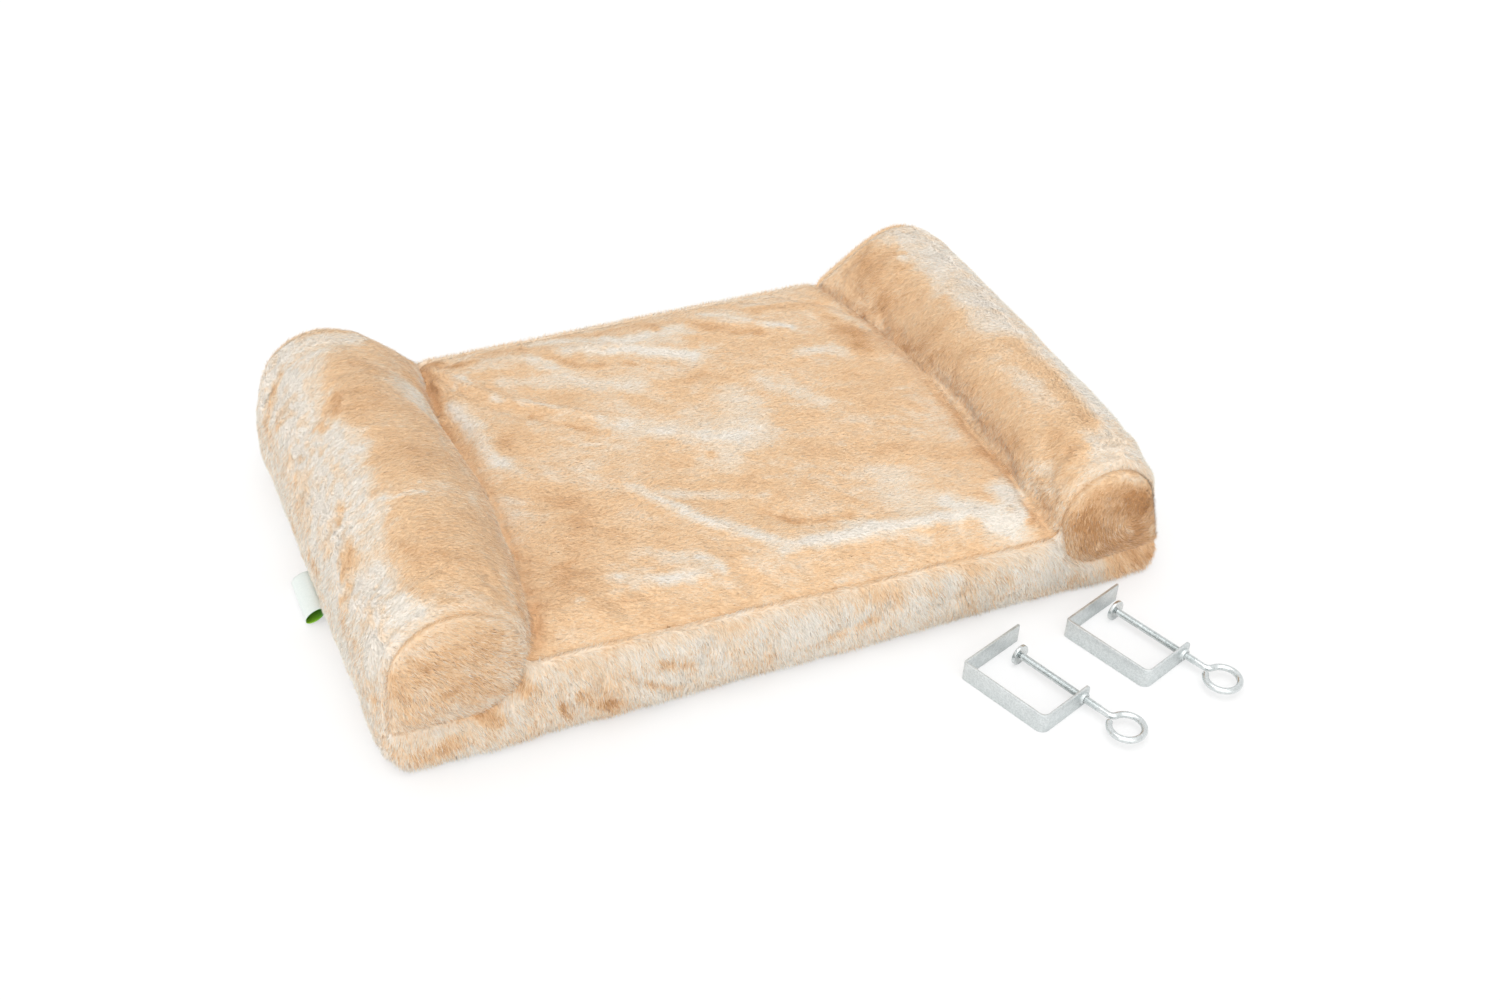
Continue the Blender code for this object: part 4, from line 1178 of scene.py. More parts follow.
def foam_piece(node):
    piece = copy_of([node], node.replace("_foam", "_foam_filling"))
    remesh = piece.modifiers.new("rounded", "REMESH")
    remesh.mode = "VOXEL"
    remesh.voxel_size = foam_voxel
    fit = piece.modifiers.new("inside the plush", "SHRINKWRAP")
    fit.target = skin
    fit.wrap_method = "NEAREST_SURFACEPOINT"
    fit.wrap_mode = "INSIDE"
    fit.offset = foam_depth
    even = piece.modifiers.new("no lone points", "SMOOTH")
    even.factor = 0.5
    even.iterations = foam_rounds
    apply_modifiers(piece)
    piece.data.shade_smooth()
    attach(piece, "bed")
    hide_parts(node)
    return piece


foam_finish, tree, links, shader = new_finish("foam", 0.95, Specular_IOR_Level=0.15)
pores = tree.new("ShaderNodeTexVoronoi")
pores.inputs["Scale"].default_value = 420
links.new(tree.new("ShaderNodeTexCoord").outputs["Object"], pores.inputs["Vector"])
add_tints(tree, links, add_range(tree, links, pores.outputs["Distance"], 0, 1, 0, 0.6),
          (206, 192, 150), (240, 232, 204), shader.inputs["Base Color"])
add_bump(tree, links, shader, pores.outputs["Distance"], 0.6, 0.001)
for node in ("seat_foam", "left_roll_foam", "right_roll_foam"):
    piece = foam_piece(node)
    piece.data.materials.append(foam_finish)
    print(f"{piece.name}: {len(piece.data.polygons)} faces")

# %% [markdown]
# The underside is a plain woven cloth, stretched over the board and turned in at its edge. It is a grid of
# the bed's size whose corners are drawn in to a curve; a row of stitches holds the hem, and between the
# stitches the cloth lies in very shallow waves.

# %% Underside cloth
low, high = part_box("bottom_panel")
lining_corner = 0.012
hem_width = 0.008
stitch_depth = 0.0003
wave_height = 0.0002
lining_thickness = 0.0009

bpy.ops.object.select_all(action="DESELECT")
bpy.ops.mesh.primitive_grid_add(x_subdivisions=132, y_subdivisions=82, size=1)
lining = bpy.context.active_object
lining.name = "underside_cloth"
points = coordinates(lining) * 2
half = np.array(((high.x - low.x) / 2, (high.y - low.y) / 2))
flat = points[:, :2] * half
inner = half - lining_corner
over = abs(flat) - inner
corner = (over > 0).all(axis=1)
square_reach = np.maximum(over[:, 0], over[:, 1])
round_reach = np.linalg.norm(over, axis=1)
drawn = over * (square_reach / np.maximum(round_reach, 1e-9))[:, None]
flat = np.where(corner[:, None], np.sign(flat) * (inner + drawn), flat)
edge_gap = np.minimum(*(half - abs(flat)).T)
height = high.z - stitch_depth - wave_height - wave_height * soft_noise(points, 0.09, 31)
height += wave_height * (1 - ease(edge_gap, 0.4 * hem_width, hem_width))
height -= stitch_depth * np.exp(-((edge_gap - hem_width) / 0.0012) ** 2)
set_coordinates(lining, np.column_stack([flat, height]))
wall = lining.modifiers.new("thickness", "SOLIDIFY")
wall.thickness = lining_thickness
wall.offset = -1
apply_modifiers(lining)
lining.data.shade_smooth()

lining_finish, tree, links, shader = new_finish("underside weave", 0.9, Specular_IOR_Level=0.2)
threads = []
for axis in range(2):
    wave = tree.new("ShaderNodeTexWave")
    wave.bands_direction = "XY"[axis]
    wave.inputs["Scale"].default_value = 300
    wave.inputs["Distortion"].default_value = 0.6
    links.new(tree.new("ShaderNodeTexCoord").outputs["Object"], wave.inputs["Vector"])
    threads.append(wave.outputs["Fac"])
weave = tree.new("ShaderNodeMath")
weave.operation = "MULTIPLY"
for number, thread in enumerate(threads):
    links.new(thread, weave.inputs[number])
add_tints(tree, links, weave.outputs[0], (172, 152, 124), (214, 198, 170), shader.inputs["Base Color"])
add_bump(tree, links, shader, weave.outputs[0], 0.4, 0.0004)
lining.data.materials.append(lining_finish)
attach(lining, "bed")
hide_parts("bottom_panel")
print(f"the underside cloth has {len(lining.data.polygons)} faces")

# %% Board
board_finish, tree, links, shader = new_finish("fibre board", 0.7)
fibres = add_noise(tree, links, 90, 6, (1, 3, 3))
add_tints(tree, links, fibres, (150, 112, 74), (190, 152, 108), shader.inputs["Base Color"])
add_bump(tree, links, shader, fibres, 0.2, 0.0005)
board = nodes["base_board"]
board.data.materials.clear()
board.data.materials.append(board_finish)
print("the board keeps its CAD shape")

bpy.data.objects.remove(skin)

# %% [markdown]
# ## The clamps
#
# Each clamp is a flat steel strip bent twice, a long eye screw that runs through a swaged collar, and a
# pressure disc riveted to the screw's end. They are made as in the workshop: a bar is extruded and bent by
# spinning its end face round the bend's centre. Both clamps are the same, so each piece is modelled once,
# lying along X, and copied to its two places.

# %% Sizes of the clamps
strip_width = 0.0145
strip_thickness = 0.002
far_jaw = 0.055
near_jaw = 0.0455
spine = 0.0685
far_bend = 0.0006
near_bend = 0.004
tip_corner = 0.003
edge_break = 0.0003
screw_offset = 0.0395
collar_radius = 0.0043
collar_end_radius = 0.0039
collar_length = 0.002
bore_radius = 0.0027
thread_radius = 0.0025
thread_depth = 0.0004
thread_pitch = 0.0008
thread_length = 0.068
wire_radius = 0.0022
disc_radius = 0.00725
disc_thickness = 0.0024
recess_radius = 0.0037
recess_depth = 0.0013
neck_radius = 0.0016
neck_play = 0.0002
rivet_radius = 0.0031
rivet_height = 0.0008
eye_radius = 0.0112
eye_bend = 0.005
eye_distance = 0.0885
eye_opening = math.radians(22)
small_gap = 0.0003
clamp_turn = math.radians(-70)
clamp_corners = {"clamp_1": (0.0905, -0.219, 0.0125), "clamp_2": (0.1740, -0.208, 0.0090)}

# %% Helpers for modelling by hand
def edit(item, mode):
    """Opens an object in edit mode with nothing selected. mode is FACE, EDGE or VERT."""
    only(item)
    bpy.ops.object.mode_set(mode="EDIT")
    bpy.ops.mesh.select_mode(type=mode)
    bpy.ops.mesh.select_all(action="DESELECT")


def pick(item, kind, test):
    """In edit mode, selects the faces, edges or verts that pass a test, and nothing else."""
    bpy.ops.mesh.select_all(action="DESELECT")
    shape = bmesh.from_edit_mesh(item.data)
    found = [element for element in getattr(shape, kind) if test(element)]
    for element in found:
        element.select_set(True)
    bmesh.update_edit_mesh(item.data)
    return len(found)


def leave(item, title=None):
    """Merges doubles, turns the faces outwards and closes edit mode."""
    bpy.ops.mesh.select_all(action="SELECT")
    bpy.ops.mesh.remove_doubles(threshold=1e-6)
    bpy.ops.mesh.normals_make_consistent(inside=False)
    bpy.ops.object.mode_set(mode="OBJECT")
    if title:
        item.name = item.data.name = title


def extrude(x=0.0, y=0.0, z=0.0):
    bpy.ops.mesh.extrude_region_move(TRANSFORM_OT_translate={"value": (x, y, z)})


def spin(steps, angle, centre):
    """Spins the selected face about the vertical. Without a window a positive angle turns the other way."""
    bpy.ops.mesh.spin(steps=steps, angle=-angle, center=(*centre, 0), axis=(0, 0, 1))


def open_edges(item):
    """How many edges don't have exactly two faces. A closed piece has none."""
    shape = bmesh.new()
    shape.from_mesh(item.data)
    count = sum(len(edge.link_faces) != 2 for edge in shape.edges)
    shape.free()
    return count


def add_bar(title, low, high):
    """A block between two corners, as the start of a bar."""
    low, high = Vector(low), Vector(high)
    bpy.ops.object.select_all(action="DESELECT")
    bpy.ops.mesh.primitive_cube_add(size=1, location=(low + high) / 2, scale=high - low)
    item = bpy.context.active_object
    bpy.ops.object.transform_apply(location=True, rotation=True, scale=True)
    item.name = title
    return item


def add_rod(title, start, end, radius, sides=24):
    """A closed cylinder along X."""
    bpy.ops.object.select_all(action="DESELECT")
    bpy.ops.mesh.primitive_cylinder_add(vertices=sides, radius=radius, depth=end - start,
                                        location=((start + end) / 2, 0, 0), rotation=(0, math.radians(90), 0))
    item = bpy.context.active_object
    bpy.ops.object.transform_apply(location=True, rotation=True, scale=True)
    item.name = title
    return item


def combine(item, other, operation):
    """A boolean with another object, which is then removed."""
    step = item.modifiers.new(operation.lower(), "BOOLEAN")
    step.operation = operation
    step.solver = "EXACT"
    step.object = other
    apply_modifiers(item)
    bpy.data.objects.remove(other)


def soften_edges(item, width, segments=2, angle=35):
    bevel = item.modifiers.new("broken edges", "BEVEL")
    bevel.width = width
    bevel.segments = segments
    bevel.limit_method = "ANGLE"
    bevel.angle_limit = math.radians(angle)
    bevel.harden_normals = False
    apply_modifiers(item)


# %% [markdown]
# The strip starts as the far jaw. Its end face is spun a quarter turn for the bend, extruded along the spine,
# spun again and extruded as the near jaw. The far bend is sharp and the near one round, as on the real clamps.

# %% Bend the strip
far_centre = strip_thickness + far_bend
near_centre = (spine - strip_thickness - near_bend, strip_thickness + near_bend)
quarter = math.radians(90)

strip = add_bar("clamp_strip", (0, far_centre, 0), (strip_thickness, far_jaw, strip_width))
edit(strip, "FACE")
pick(strip, "faces", lambda face: face.normal.y < -0.9)
spin(6, quarter, (far_centre, far_centre))
extrude(x=near_centre[0] - far_centre)
spin(10, quarter, near_centre)
extrude(y=near_jaw - near_centre[1])
leave(strip)
print("strip", [round(value, 4) for value in strip.dimensions], "open edges", open_edges(strip))

# %% [markdown]
# The near jaw's corners are rounded with a bevel. A hole was punched through it and its rim pushed out to a
# collar for the thread, so a short cone is united with the strip and a bore is cut through both.

# %% Collar, bore and soft edges
def across_jaw_end(edge):
    """Whether an edge of the strip lies across the end of the near jaw."""
    at_end = all(vertex.co.y > near_jaw - small_gap and vertex.co.x > far_jaw for vertex in edge.verts)
    return at_end and abs(edge.verts[0].co.x - edge.verts[1].co.x) > small_gap


edit(strip, "EDGE")
pick(strip, "edges", across_jaw_end)
bpy.ops.mesh.bevel(offset=tip_corner, segments=6, affect="EDGES")
leave(strip)
soften_edges(strip, edge_break)


def at_screw(item):
    """Moves something made round the X axis onto the screw's axis, in its mesh."""
    item.data.transform(Matrix.Translation((0, screw_offset, strip_width / 2)))
    return item


collar = add_rod("collar", spine - strip_thickness / 2, spine + collar_length, collar_radius, 48)
edit(collar, "FACE")
pick(collar, "faces", lambda face: face.normal.x > 0.9)
bpy.ops.transform.resize(value=(1,) + (collar_end_radius / collar_radius,) * 2)
leave(collar)
soften_edges(collar, edge_break)
combine(strip, at_screw(collar), "UNION")
combine(strip, at_screw(add_rod("bore", far_jaw, spine + 2 * collar_length, bore_radius, 48)), "DIFFERENCE")
bpy.ops.object.shade_smooth_by_angle(angle=math.radians(40))
print(f"the bent strip has {len(strip.data.polygons)} faces and {open_edges(strip)} open edges")

# %% [markdown]
# The thread is a real helix. One tooth's profile is swept with the Screw modifier, which turns and advances
# it by its pitch, so that each turn joins the next. Both ends are then closed with a face. A texture could
# stand for the thread in a picture, but this one also catches the light along its crests.

# %% Thread
shoulder = disc_thickness + small_gap
root_radius = thread_radius - thread_depth
tooth = [(0, root_radius), (0.42, thread_radius), (0.58, thread_radius), (1, root_radius)]
turns = int((thread_length - shoulder) / thread_pitch)

shape = bmesh.new()
profile = [shape.verts.new((shoulder + along * thread_pitch, 0, radius)) for along, radius in tooth]
for first, second in zip(profile, profile[1:]):
    shape.edges.new((first, second))
mesh = bpy.data.meshes.new("thread")
shape.to_mesh(mesh)
shape.free()
thread = bpy.data.objects.new("thread", mesh)
bpy.context.scene.collection.objects.link(thread)
wind = thread.modifiers.new("wind", "SCREW")
wind.axis = "X"
wind.angle = math.radians(360)
wind.screw_offset = thread_pitch
wind.iterations = turns - 1
wind.steps = wind.render_steps = 20
wind.use_merge_vertices = True
wind.merge_threshold = 1e-6
apply_modifiers(thread)
edit(thread, "EDGE")
bpy.ops.mesh.select_all(action="SELECT")
bpy.ops.mesh.remove_doubles(threshold=2e-6)
middle = (shoulder + thread_length) / 2
for end in (-1, 1):
    pick(thread, "edges", lambda edge: edge.is_boundary and end * (edge.verts[0].co.x - middle) > 0)
    bpy.ops.mesh.edge_face_add()
leave(thread)
bpy.ops.object.shade_smooth_by_angle(angle=math.radians(25))
print(f"{turns} turns of thread, {len(thread.data.polygons)} faces, {open_edges(thread)} open edges,",
      f"from {min(v.co.x for v in thread.data.vertices):.4f} to {max(v.co.x for v in thread.data.vertices):.4f}")

# %% [markdown]
# The eye is bent from the same rod: its end face is extruded, spun a little sideways and then spun almost
# all the way round the eye's middle, as wire is bent round a peg.

# %% Rod and eye
bend_x = eye_distance - math.sqrt(eye_radius ** 2 + 2 * eye_radius * eye_bend)
bend_turn = math.atan2(eye_distance - bend_x, eye_bend)
eye_start = math.atan2(eye_bend - eye_bend * math.cos(bend_turn),
                       bend_x + eye_bend * math.sin(bend_turn) - eye_distance)
eye_turn = eye_start - (-math.pi + eye_opening)

eye = add_rod("eye", thread_length - 2 * thread_pitch, bend_x, wire_radius, 20)
edit(eye, "FACE")
pick(eye, "faces", lambda face: face.normal.x > 0.9)
spin(8, bend_turn, (bend_x, eye_bend))
spin(44, -eye_turn, (eye_distance, 0))
bpy.ops.mesh.bevel(offset=edge_break, segments=2, affect="EDGES")
leave(eye)
bpy.ops.object.shade_smooth_by_angle(angle=math.radians(35))
print("eye", [round(value, 4) for value in eye.dimensions], "open edges", open_edges(eye))

# %% [markdown]
# The screw's other end is turned down to a neck, pushed through the disc and hammered to a rivet. The disc is
# a turned slug: its face is inset and pushed in for the rivet, and a bridge between both faces makes the bore.

# %% Rivet and disc
rivet_end = recess_depth - small_gap
neck = add_rod("neck", rivet_end - rivet_height, shoulder + thread_pitch, neck_radius)
rivet = add_rod("rivet", rivet_end - rivet_height, rivet_end, rivet_radius, 32)
soften_edges(rivet, 0.00035, 3)
combine(neck, rivet, "UNION")
only(neck, thread, eye)
bpy.ops.object.join()
screw = bpy.context.active_object
screw.name = "eye_screw"
bpy.ops.object.shade_smooth_by_angle(angle=math.radians(28))

disc = add_rod("disc", 0, disc_thickness, disc_radius, 48)
bore = neck_radius + neck_play
edit(disc, "FACE")
pick(disc, "faces", lambda face: face.normal.x < -0.9)
bpy.ops.mesh.inset(thickness=disc_radius - recess_radius)
extrude(x=recess_depth)
bpy.ops.mesh.inset(thickness=recess_radius - bore)
pick(disc, "faces", lambda face: face.normal.x > 0.9)
bpy.ops.mesh.inset(thickness=disc_radius - bore)
pick(disc, "faces", lambda face: abs(face.normal.x) > 0.9 and face.calc_center_median().yz.length < bore / 2
     and len(face.verts) > 4)
bpy.ops.mesh.bridge_edge_loops()
leave(disc)
soften_edges(disc, 0.0004, 3)
bpy.ops.object.shade_smooth_by_angle(angle=math.radians(40))
print(f"screw {open_edges(screw)} open edges, disc {open_edges(disc)} open edges, {len(disc.data.polygons)} faces")

# %% [markdown]
# Zinc plating is pale and a little blue. On the strip, which was plated after it was cut, it looks like
# frosted tin, with faint spangles. The screw is smoother.
# The pattern is the same in both, so it is a node group.

# %% Zinc plating
zinc_group, tree, links, given, result = new_group("zinc plating", ("Spangle size", "Dull"),
                                                   ("Colour", "Roughness", "Height"))
place = tree.new("ShaderNodeTexCoord").outputs["Object"]
spangle = tree.new("ShaderNodeTexVoronoi")
links.new(place, spangle.inputs["Vector"])
links.new(given.outputs["Spangle size"], spangle.inputs["Scale"])
cloud = tree.new("ShaderNodeTexNoise")
cloud.inputs["Scale"].default_value = 130
cloud.inputs["Detail"].default_value = 6
cloud.inputs["Roughness"].default_value = 0.7
links.new(place, cloud.inputs["Vector"])
grey = tree.new("ShaderNodeSeparateColor")
links.new(spangle.outputs["Color"], grey.inputs["Color"])
both = tree.new("ShaderNodeMix")
both.inputs["Factor"].default_value = 0.6
links.new(grey.outputs["Red"], both.inputs[2])
links.new(cloud.outputs["Fac"], both.inputs[3])
add_tints(tree, links, both.outputs[0], (198, 203, 203), (222, 226, 226), result.inputs["Colour"], (0.25, 0.75))
rough = tree.new("ShaderNodeMath")
rough.operation = "MULTIPLY_ADD"
rough.inputs[1].default_value = 0.22
links.new(cloud.outputs["Fac"], rough.inputs[0])
links.new(given.outputs["Dull"], rough.inputs[2])
links.new(rough.outputs[0], result.inputs["Roughness"])
links.new(cloud.outputs["Fac"], result.inputs["Height"])


def zinc_finish(title, spangle_size, dull, bump_height):
    finish, tree, links, shader = new_finish(title, 0.35, Metallic=1)
    group = tree.new("ShaderNodeGroup")
    group.node_tree = zinc_group
    group.inputs["Spangle size"].default_value = spangle_size
    group.inputs["Dull"].default_value = dull
    links.new(group.outputs["Colour"], shader.inputs["Base Color"])
    links.new(group.outputs["Roughness"], shader.inputs["Roughness"])
    add_bump(tree, links, shader, group.outputs["Height"], 0.25, bump_height)
    return finish


strip_finish = zinc_finish("zinc on the strip", 1100, 0.40, 0.00015)
screw_finish = zinc_finish("zinc on the screw", 900, 0.16, 0.0001)
for item, finish in ((strip, strip_finish), (screw, screw_finish), (disc, screw_finish)):
    item.data.materials.clear()
    item.data.materials.append(finish)

# %% Two clamps
for name, (corner_x, corner_y, opening) in clamp_corners.items():
    place = Matrix.Translation((corner_x, corner_y, 0)) @ Matrix.Rotation(clamp_turn, 4, "Z")
    on_axis = place @ Matrix.Translation((strip_thickness + opening, screw_offset, strip_width / 2))
    for source, part, where in ((strip, "frame", place), (screw, "screw", on_axis), (disc, "disc", on_axis)):
        piece = bpy.data.objects.new(f"{name}_{part}_steel", source.data.copy())
        bpy.context.scene.collection.objects.link(piece)
        piece.data.transform(where)
        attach(piece, f"{name}_{part}_body")
        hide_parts(f"{name}_{part}")
    low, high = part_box(f"{name}_frame")
for source in (strip, screw, disc):
    bpy.data.objects.remove(source)

# %% [markdown]
# ## The label
#
# A short satin ribbon is folded and sewn into the seam at the left foot. Its fold is soft, so it stays open
# as a flat tube. A grid of cloth is rolled up in code, because a ribbon this thin gains nothing from a
# simulation. The lettering of the real ribbon is left off. It is white satin outside and green inside.

# %% Roll the ribbon
label_width = 0.040
label_middle = -0.002
label_root = -0.2753
label_reach = 0.0125
label_height = 0.0085
label_thickness = 0.0005
label_seam_height = 0.0105
label_droop = 0.0050
label_fullness = 0.8
label_wave = 0.0004
# painted shade inside the fold: the green inside darkens towards its upper height
label_shade_heights = (0.002, 0.009)  # the inside is lime at the lower height and deep green at the upper

bpy.ops.object.select_all(action="DESELECT")
bpy.ops.mesh.primitive_grid_add(x_subdivisions=48, y_subdivisions=40, size=1)
ribbon = bpy.context.active_object
ribbon.name = "ribbon_label"
points = coordinates(ribbon)
around = (points[:, 0] + 0.5) * 2  # 0 at the upper edge in the seam, 1 at the fold, 2 at the lower edge
share = 0.5 - 0.5 * np.cos(np.pi * (1 - abs(around - 1)))
spread = label_height / 2 * np.sqrt(np.maximum(1 - (2 * share - 1) ** 2, 0)) ** label_fullness
sign = np.where(around < 1, 1, -1)
centre = label_seam_height - label_droop * share
half = np.maximum(spread - label_thickness / 2, label_thickness)
half = np.where(share > 0.97, spread, half)
wave = label_wave * soft_noise(points * (1, 1.6, 1), 0.45, 88) * np.sin(np.pi * np.clip(share, 0, 1))
set_coordinates(ribbon, np.column_stack([
    label_root - label_thickness / 2 - (label_reach - label_thickness) * share,
    label_middle + points[:, 1] * label_width, centre + sign * half + wave]))
wall = ribbon.modifiers.new("thickness", "SOLIDIFY")
wall.thickness = label_thickness * 0.8
wall.offset = -1
wall.material_offset = 1
ribbon.data.shade_smooth()

satin, tree, links, shader = new_finish("white satin", 0.42, Sheen_Weight=0.2)
weave = add_noise(tree, links, 500, 2, (1, 6, 1))
add_tints(tree, links, weave, (206, 218, 214), (238, 242, 238), shader.inputs["Base Color"])
add_bump(tree, links, shader, weave, 0.25, 0.0002)

green_satin, tree, links, shader = new_finish("green satin", 0.45, Sheen_Weight=0.2)
place = tree.new("ShaderNodeSeparateXYZ")
links.new(tree.new("ShaderNodeTexCoord").outputs["Object"], place.inputs[0])
# the green is the ribbon's own; its darkening from lime below to deep green above is painted shade inside the fold
add_tints(tree, links, add_range(tree, links, place.outputs["Z"], 1, 0, *label_shade_heights),
          (6, 120, 18), (150, 214, 44), shader.inputs["Base Color"])
add_bump(tree, links, shader, add_noise(tree, links, 500, 2, (1, 6, 1)), 0.25, 0.0002)
ribbon.data.materials.append(green_satin)
ribbon.data.materials.append(satin)
apply_modifiers(ribbon)
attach(ribbon, "bed")
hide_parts("label")
print(f"the ribbon reaches {min(v.co.x for v in ribbon.data.vertices):.4f}, {len(ribbon.data.polygons)} faces")

# %% [markdown]
# ## The zip
#
# The cover comes off through a zip low on the rear side. It isn't in the photograph, so it is an ordinary
# nylon one: a woven tape sewn on with two rows of stitches, a row of teeth from each side that mesh in the
# middle, a slider with a pull and two stops. One stitch and one tooth are modelled and repeated by an array.

# %% Sizes of the zip
zip_length = 0.330
zip_height = 0.022
tape_width = 0.019
tape_thickness = 0.0006
tape_back = 0.1753
tape_end = 0.1691
chain_back = 0.1762
chain_width = 0.005
chain_thickness = 0.0015
tooth_pitch = 0.0012
stitch_pitch = 0.0032
stitch_inset = 0.0025
stop_length = 0.003
stop_reach = 0.0033
slider_at = 0.158
slider_back = 0.1780
slider_thickness = 0.0022
slider_length = 0.012
slider_width = 0.009
slider_corner = 0.0016
bridge_half = 0.00425
bridge_width = 0.002
bridge_bar = 0.0012
bridge_top = 0.1834
pull_axis = 0.1812
pull_length = 0.024
pull_width = 0.0075
pull_thickness = 0.0012
pull_bar = 0.0006
pull_arm = 0.0021
pull_window = 0.0052


def repeat(item, count, step):
    """Repeats an object along X with an array, and applies it."""
    array = item.modifiers.new("repeat", "ARRAY")
    array.use_relative_offset = False
    array.use_constant_offset = True
    array.constant_offset_displace = (step, 0, 0)
    array.count = count
    apply_modifiers(item)


def finish_piece(item, title, finish, body, node, smooth=40):
    only(item)
    bpy.ops.object.shade_smooth_by_angle(angle=math.radians(smooth))
    item.name = title
    item.data.materials.clear()
    item.data.materials.append(finish)
    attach(item, body)
    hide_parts(node)
    print(f"{title}: {len(item.data.polygons)} faces, {open_edges(item)} open edges")


# %% Tape with its stitches
tape_finish, tree, links, shader = new_finish("zip tape weave", 0.85, Specular_IOR_Level=0.2)
ribs = tree.new("ShaderNodeTexWave")
ribs.wave_type = "BANDS"
ribs.bands_direction = "DIAGONAL"
ribs.inputs["Scale"].default_value = 420
ribs.inputs["Distortion"].default_value = 0.8
links.new(tree.new("ShaderNodeTexCoord").outputs["Object"], ribs.inputs["Vector"])
add_tints(tree, links, ribs.outputs["Fac"], (176, 142, 104), (208, 174, 134), shader.inputs["Base Color"])
add_bump(tree, links, shader, ribs.outputs["Fac"], 0.4, 0.0003)

tape = add_bar("tape", (-tape_end, tape_back, zip_height - tape_width / 2),
               (tape_end, tape_back + tape_thickness, zip_height + tape_width / 2))
edit(tape, "FACE")
pick(tape, "faces", lambda face: face.normal.y > 0.9)
for thickness, push in ((0.0008, -0.0001), (chain_width / 2, 0.0001)):
    bpy.ops.mesh.inset(thickness=thickness)
    bpy.ops.transform.translate(value=(0, push, 0))
leave(tape)
soften_edges(tape, 0.0001, 2, 50)
stitches = []
for side in (-1, 1):
    height = zip_height + side * (tape_width / 2 - stitch_inset)
    face = tape_back + tape_thickness
    stitch = add_bar("stitch", (-tape_end + 0.002, face - 0.0002, height - 0.00025),
                     (-tape_end + 0.002 + 0.7 * stitch_pitch, face + 0.0002, height + 0.00025))
    soften_edges(stitch, 0.00015, 1)
    repeat(stitch, int((2 * tape_end - 0.004) / stitch_pitch), stitch_pitch)
    stitches.append(stitch)
only(tape, *stitches)
bpy.ops.object.join()
finish_piece(tape, "zip_tape_sewn", tape_finish, "bed", "zip_tape")

# %% Teeth
nylon, tree, links, shader = new_finish("zip nylon", 0.38)
add_tints(tree, links, add_noise(tree, links, 700, 3), (168, 132, 94), (196, 160, 118), shader.inputs["Base Color"])

rows = []
teeth = int((zip_length - 2 * tooth_pitch) / tooth_pitch)
for side in (-1, 1):
    first = -zip_length / 2 + tooth_pitch * (1 if side < 0 else 1.5)
    low, high = sorted((zip_height - side * 0.0005, zip_height + side * chain_width / 2))
    tooth = add_bar("tooth", (first - 0.00034, chain_back, low), (first + 0.00034, chain_back + chain_thickness, high))
    edit(tooth, "FACE")
    pick(tooth, "faces", lambda face: side * face.normal.z < -0.9)
    bpy.ops.transform.resize(value=(1.5, 0.9, 1))
    leave(tooth)
    soften_edges(tooth, 0.00022, 2)
    repeat(tooth, teeth - (side > 0), tooth_pitch)
    rows.append(tooth)
cord = add_rod("cord", -zip_length / 2, zip_length / 2, 0.00045, 10)
cord.data.transform(Matrix.Translation((0, chain_back + chain_thickness / 2, zip_height)))
only(*rows, cord)
bpy.ops.object.join()
finish_piece(rows[0], "zip_teeth", nylon, "bed", "zip_chain")

# %% Stops, slider and pull
zip_steel = zinc_finish("zip metal", 700, 0.22, 0.0001)
for side, word in ((-1, "left"), (1, "right")):
    low, high = sorted((side * (zip_length / 2 + small_gap), side * (zip_length / 2 + small_gap + stop_length)))
    stop = add_bar("stop", (low, chain_back, zip_height - stop_reach),
                   (high, chain_back + chain_thickness, zip_height + stop_reach))
    edit(stop, "FACE")
    pick(stop, "faces", lambda face: face.normal.y > 0.9)
    bpy.ops.mesh.inset(thickness=0.0007)
    bpy.ops.transform.translate(value=(0, -0.0003, 0))
    leave(stop)
    soften_edges(stop, 0.0003, 3)
    finish_piece(stop, f"zip_{word}_end_stop", zip_steel, "bed", f"zip_{word}_stop")

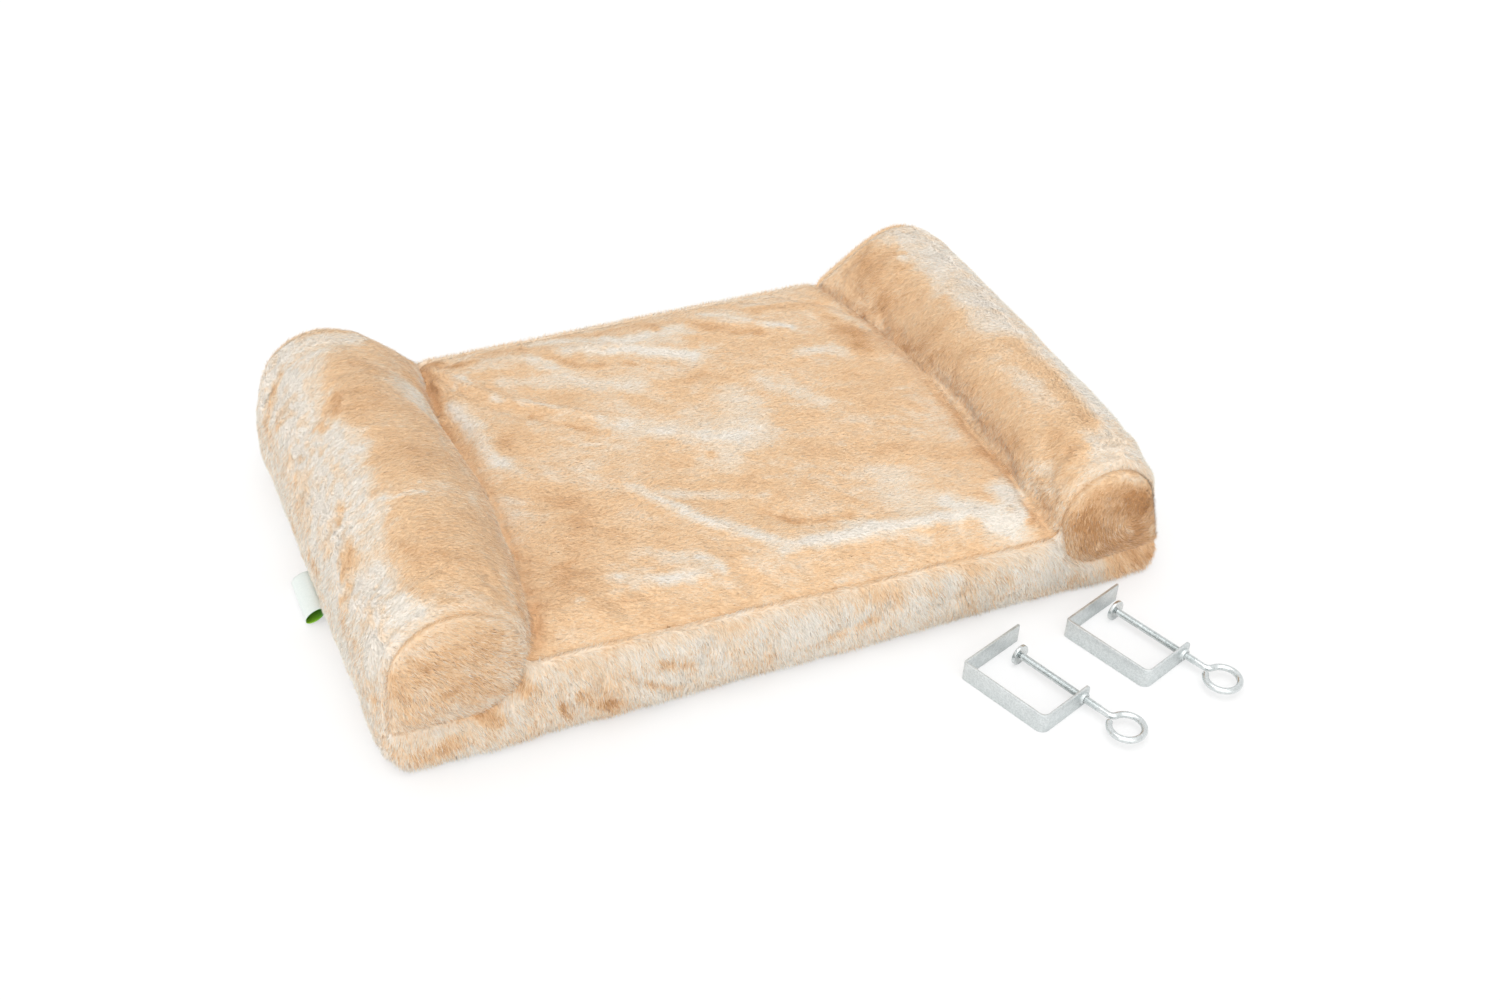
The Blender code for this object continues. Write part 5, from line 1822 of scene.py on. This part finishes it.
slider = add_bar("slider", (-slider_length / 2, slider_back, -slider_width / 2),
                 (slider_length / 2, slider_back + slider_thickness, slider_width / 2))
edit(slider, "EDGE")
pick(slider, "edges", lambda edge: abs(edge.verts[0].co.y - edge.verts[1].co.y) > small_gap)
bpy.ops.mesh.bevel(offset=slider_corner, segments=6, affect="EDGES")
bpy.ops.mesh.select_mode(type="FACE")
pick(slider, "faces", lambda face: face.normal.y > 0.9)
bpy.ops.mesh.inset(thickness=0.0008)
bpy.ops.transform.translate(value=(0, -0.0002, 0))
leave(slider)
soften_edges(slider, 0.0003, 3)
foot = slider_back + slider_thickness - bridge_bar / 2
bridge = add_bar("bridge", (-bridge_half, foot, -bridge_width / 2),
                 (-bridge_half + bridge_bar, bridge_top - bridge_bar, bridge_width / 2))
edit(bridge, "FACE")
pick(bridge, "faces", lambda face: face.normal.y > 0.9)
extrude(y=bridge_bar)
pick(bridge, "faces", lambda face: face.normal.x > 0.9 and face.calc_center_median().y > bridge_top - bridge_bar)
extrude(x=2 * (bridge_half - bridge_bar))
extrude(x=bridge_bar)
pick(bridge, "faces", lambda face: face.normal.y < -0.9 and face.calc_center_median().x > bridge_half - bridge_bar)
extrude(y=foot - bridge_top + bridge_bar)
leave(bridge)
edit(bridge, "EDGE")
pick(bridge, "edges", lambda edge: all(abs(abs(v.co.x) - bridge_half) < 1e-5 and v.co.y > bridge_top - 1e-5
                                       for v in edge.verts))
bpy.ops.mesh.bevel(offset=0.0007, segments=4, affect="EDGES")
leave(bridge)
soften_edges(bridge, 0.00025, 2)
combine(slider, bridge, "UNION")
slider.data.transform(Matrix.Translation((slider_at, 0, zip_height)))
finish_piece(slider, "zip_slider_metal", zip_steel, "zip_slider_body", "zip_slider")

pull = add_bar("pull", (-pull_bar, -pull_thickness / 2, -pull_width / 2),
               (pull_length, pull_thickness / 2, pull_width / 2))
edit(pull, "EDGE")
pick(pull, "edges", lambda edge: all(v.co.x > pull_length - small_gap for v in edge.verts)
     and abs(edge.verts[0].co.y - edge.verts[1].co.y) > small_gap)
bpy.ops.mesh.bevel(offset=0.0024, segments=6, affect="EDGES")
leave(pull)
window = add_bar("window", (pull_bar, -pull_thickness, pull_arm - pull_width / 2),
                 (pull_window, pull_thickness, pull_width / 2 - pull_arm))
combine(pull, window, "DIFFERENCE")
panel = add_bar("panel", (pull_window + 0.0025, pull_thickness / 2 - 0.0002, 0.0016 - pull_width / 2),
                (pull_length - 0.0025, pull_thickness, pull_width / 2 - 0.0016))
combine(pull, panel, "DIFFERENCE")
soften_edges(pull, 0.00022, 2)
pull.data.transform(Matrix.Translation((slider_at, pull_axis, zip_height)))
finish_piece(pull, "zip_pull_tab", zip_steel, "zip_pull_body", "zip_pull")
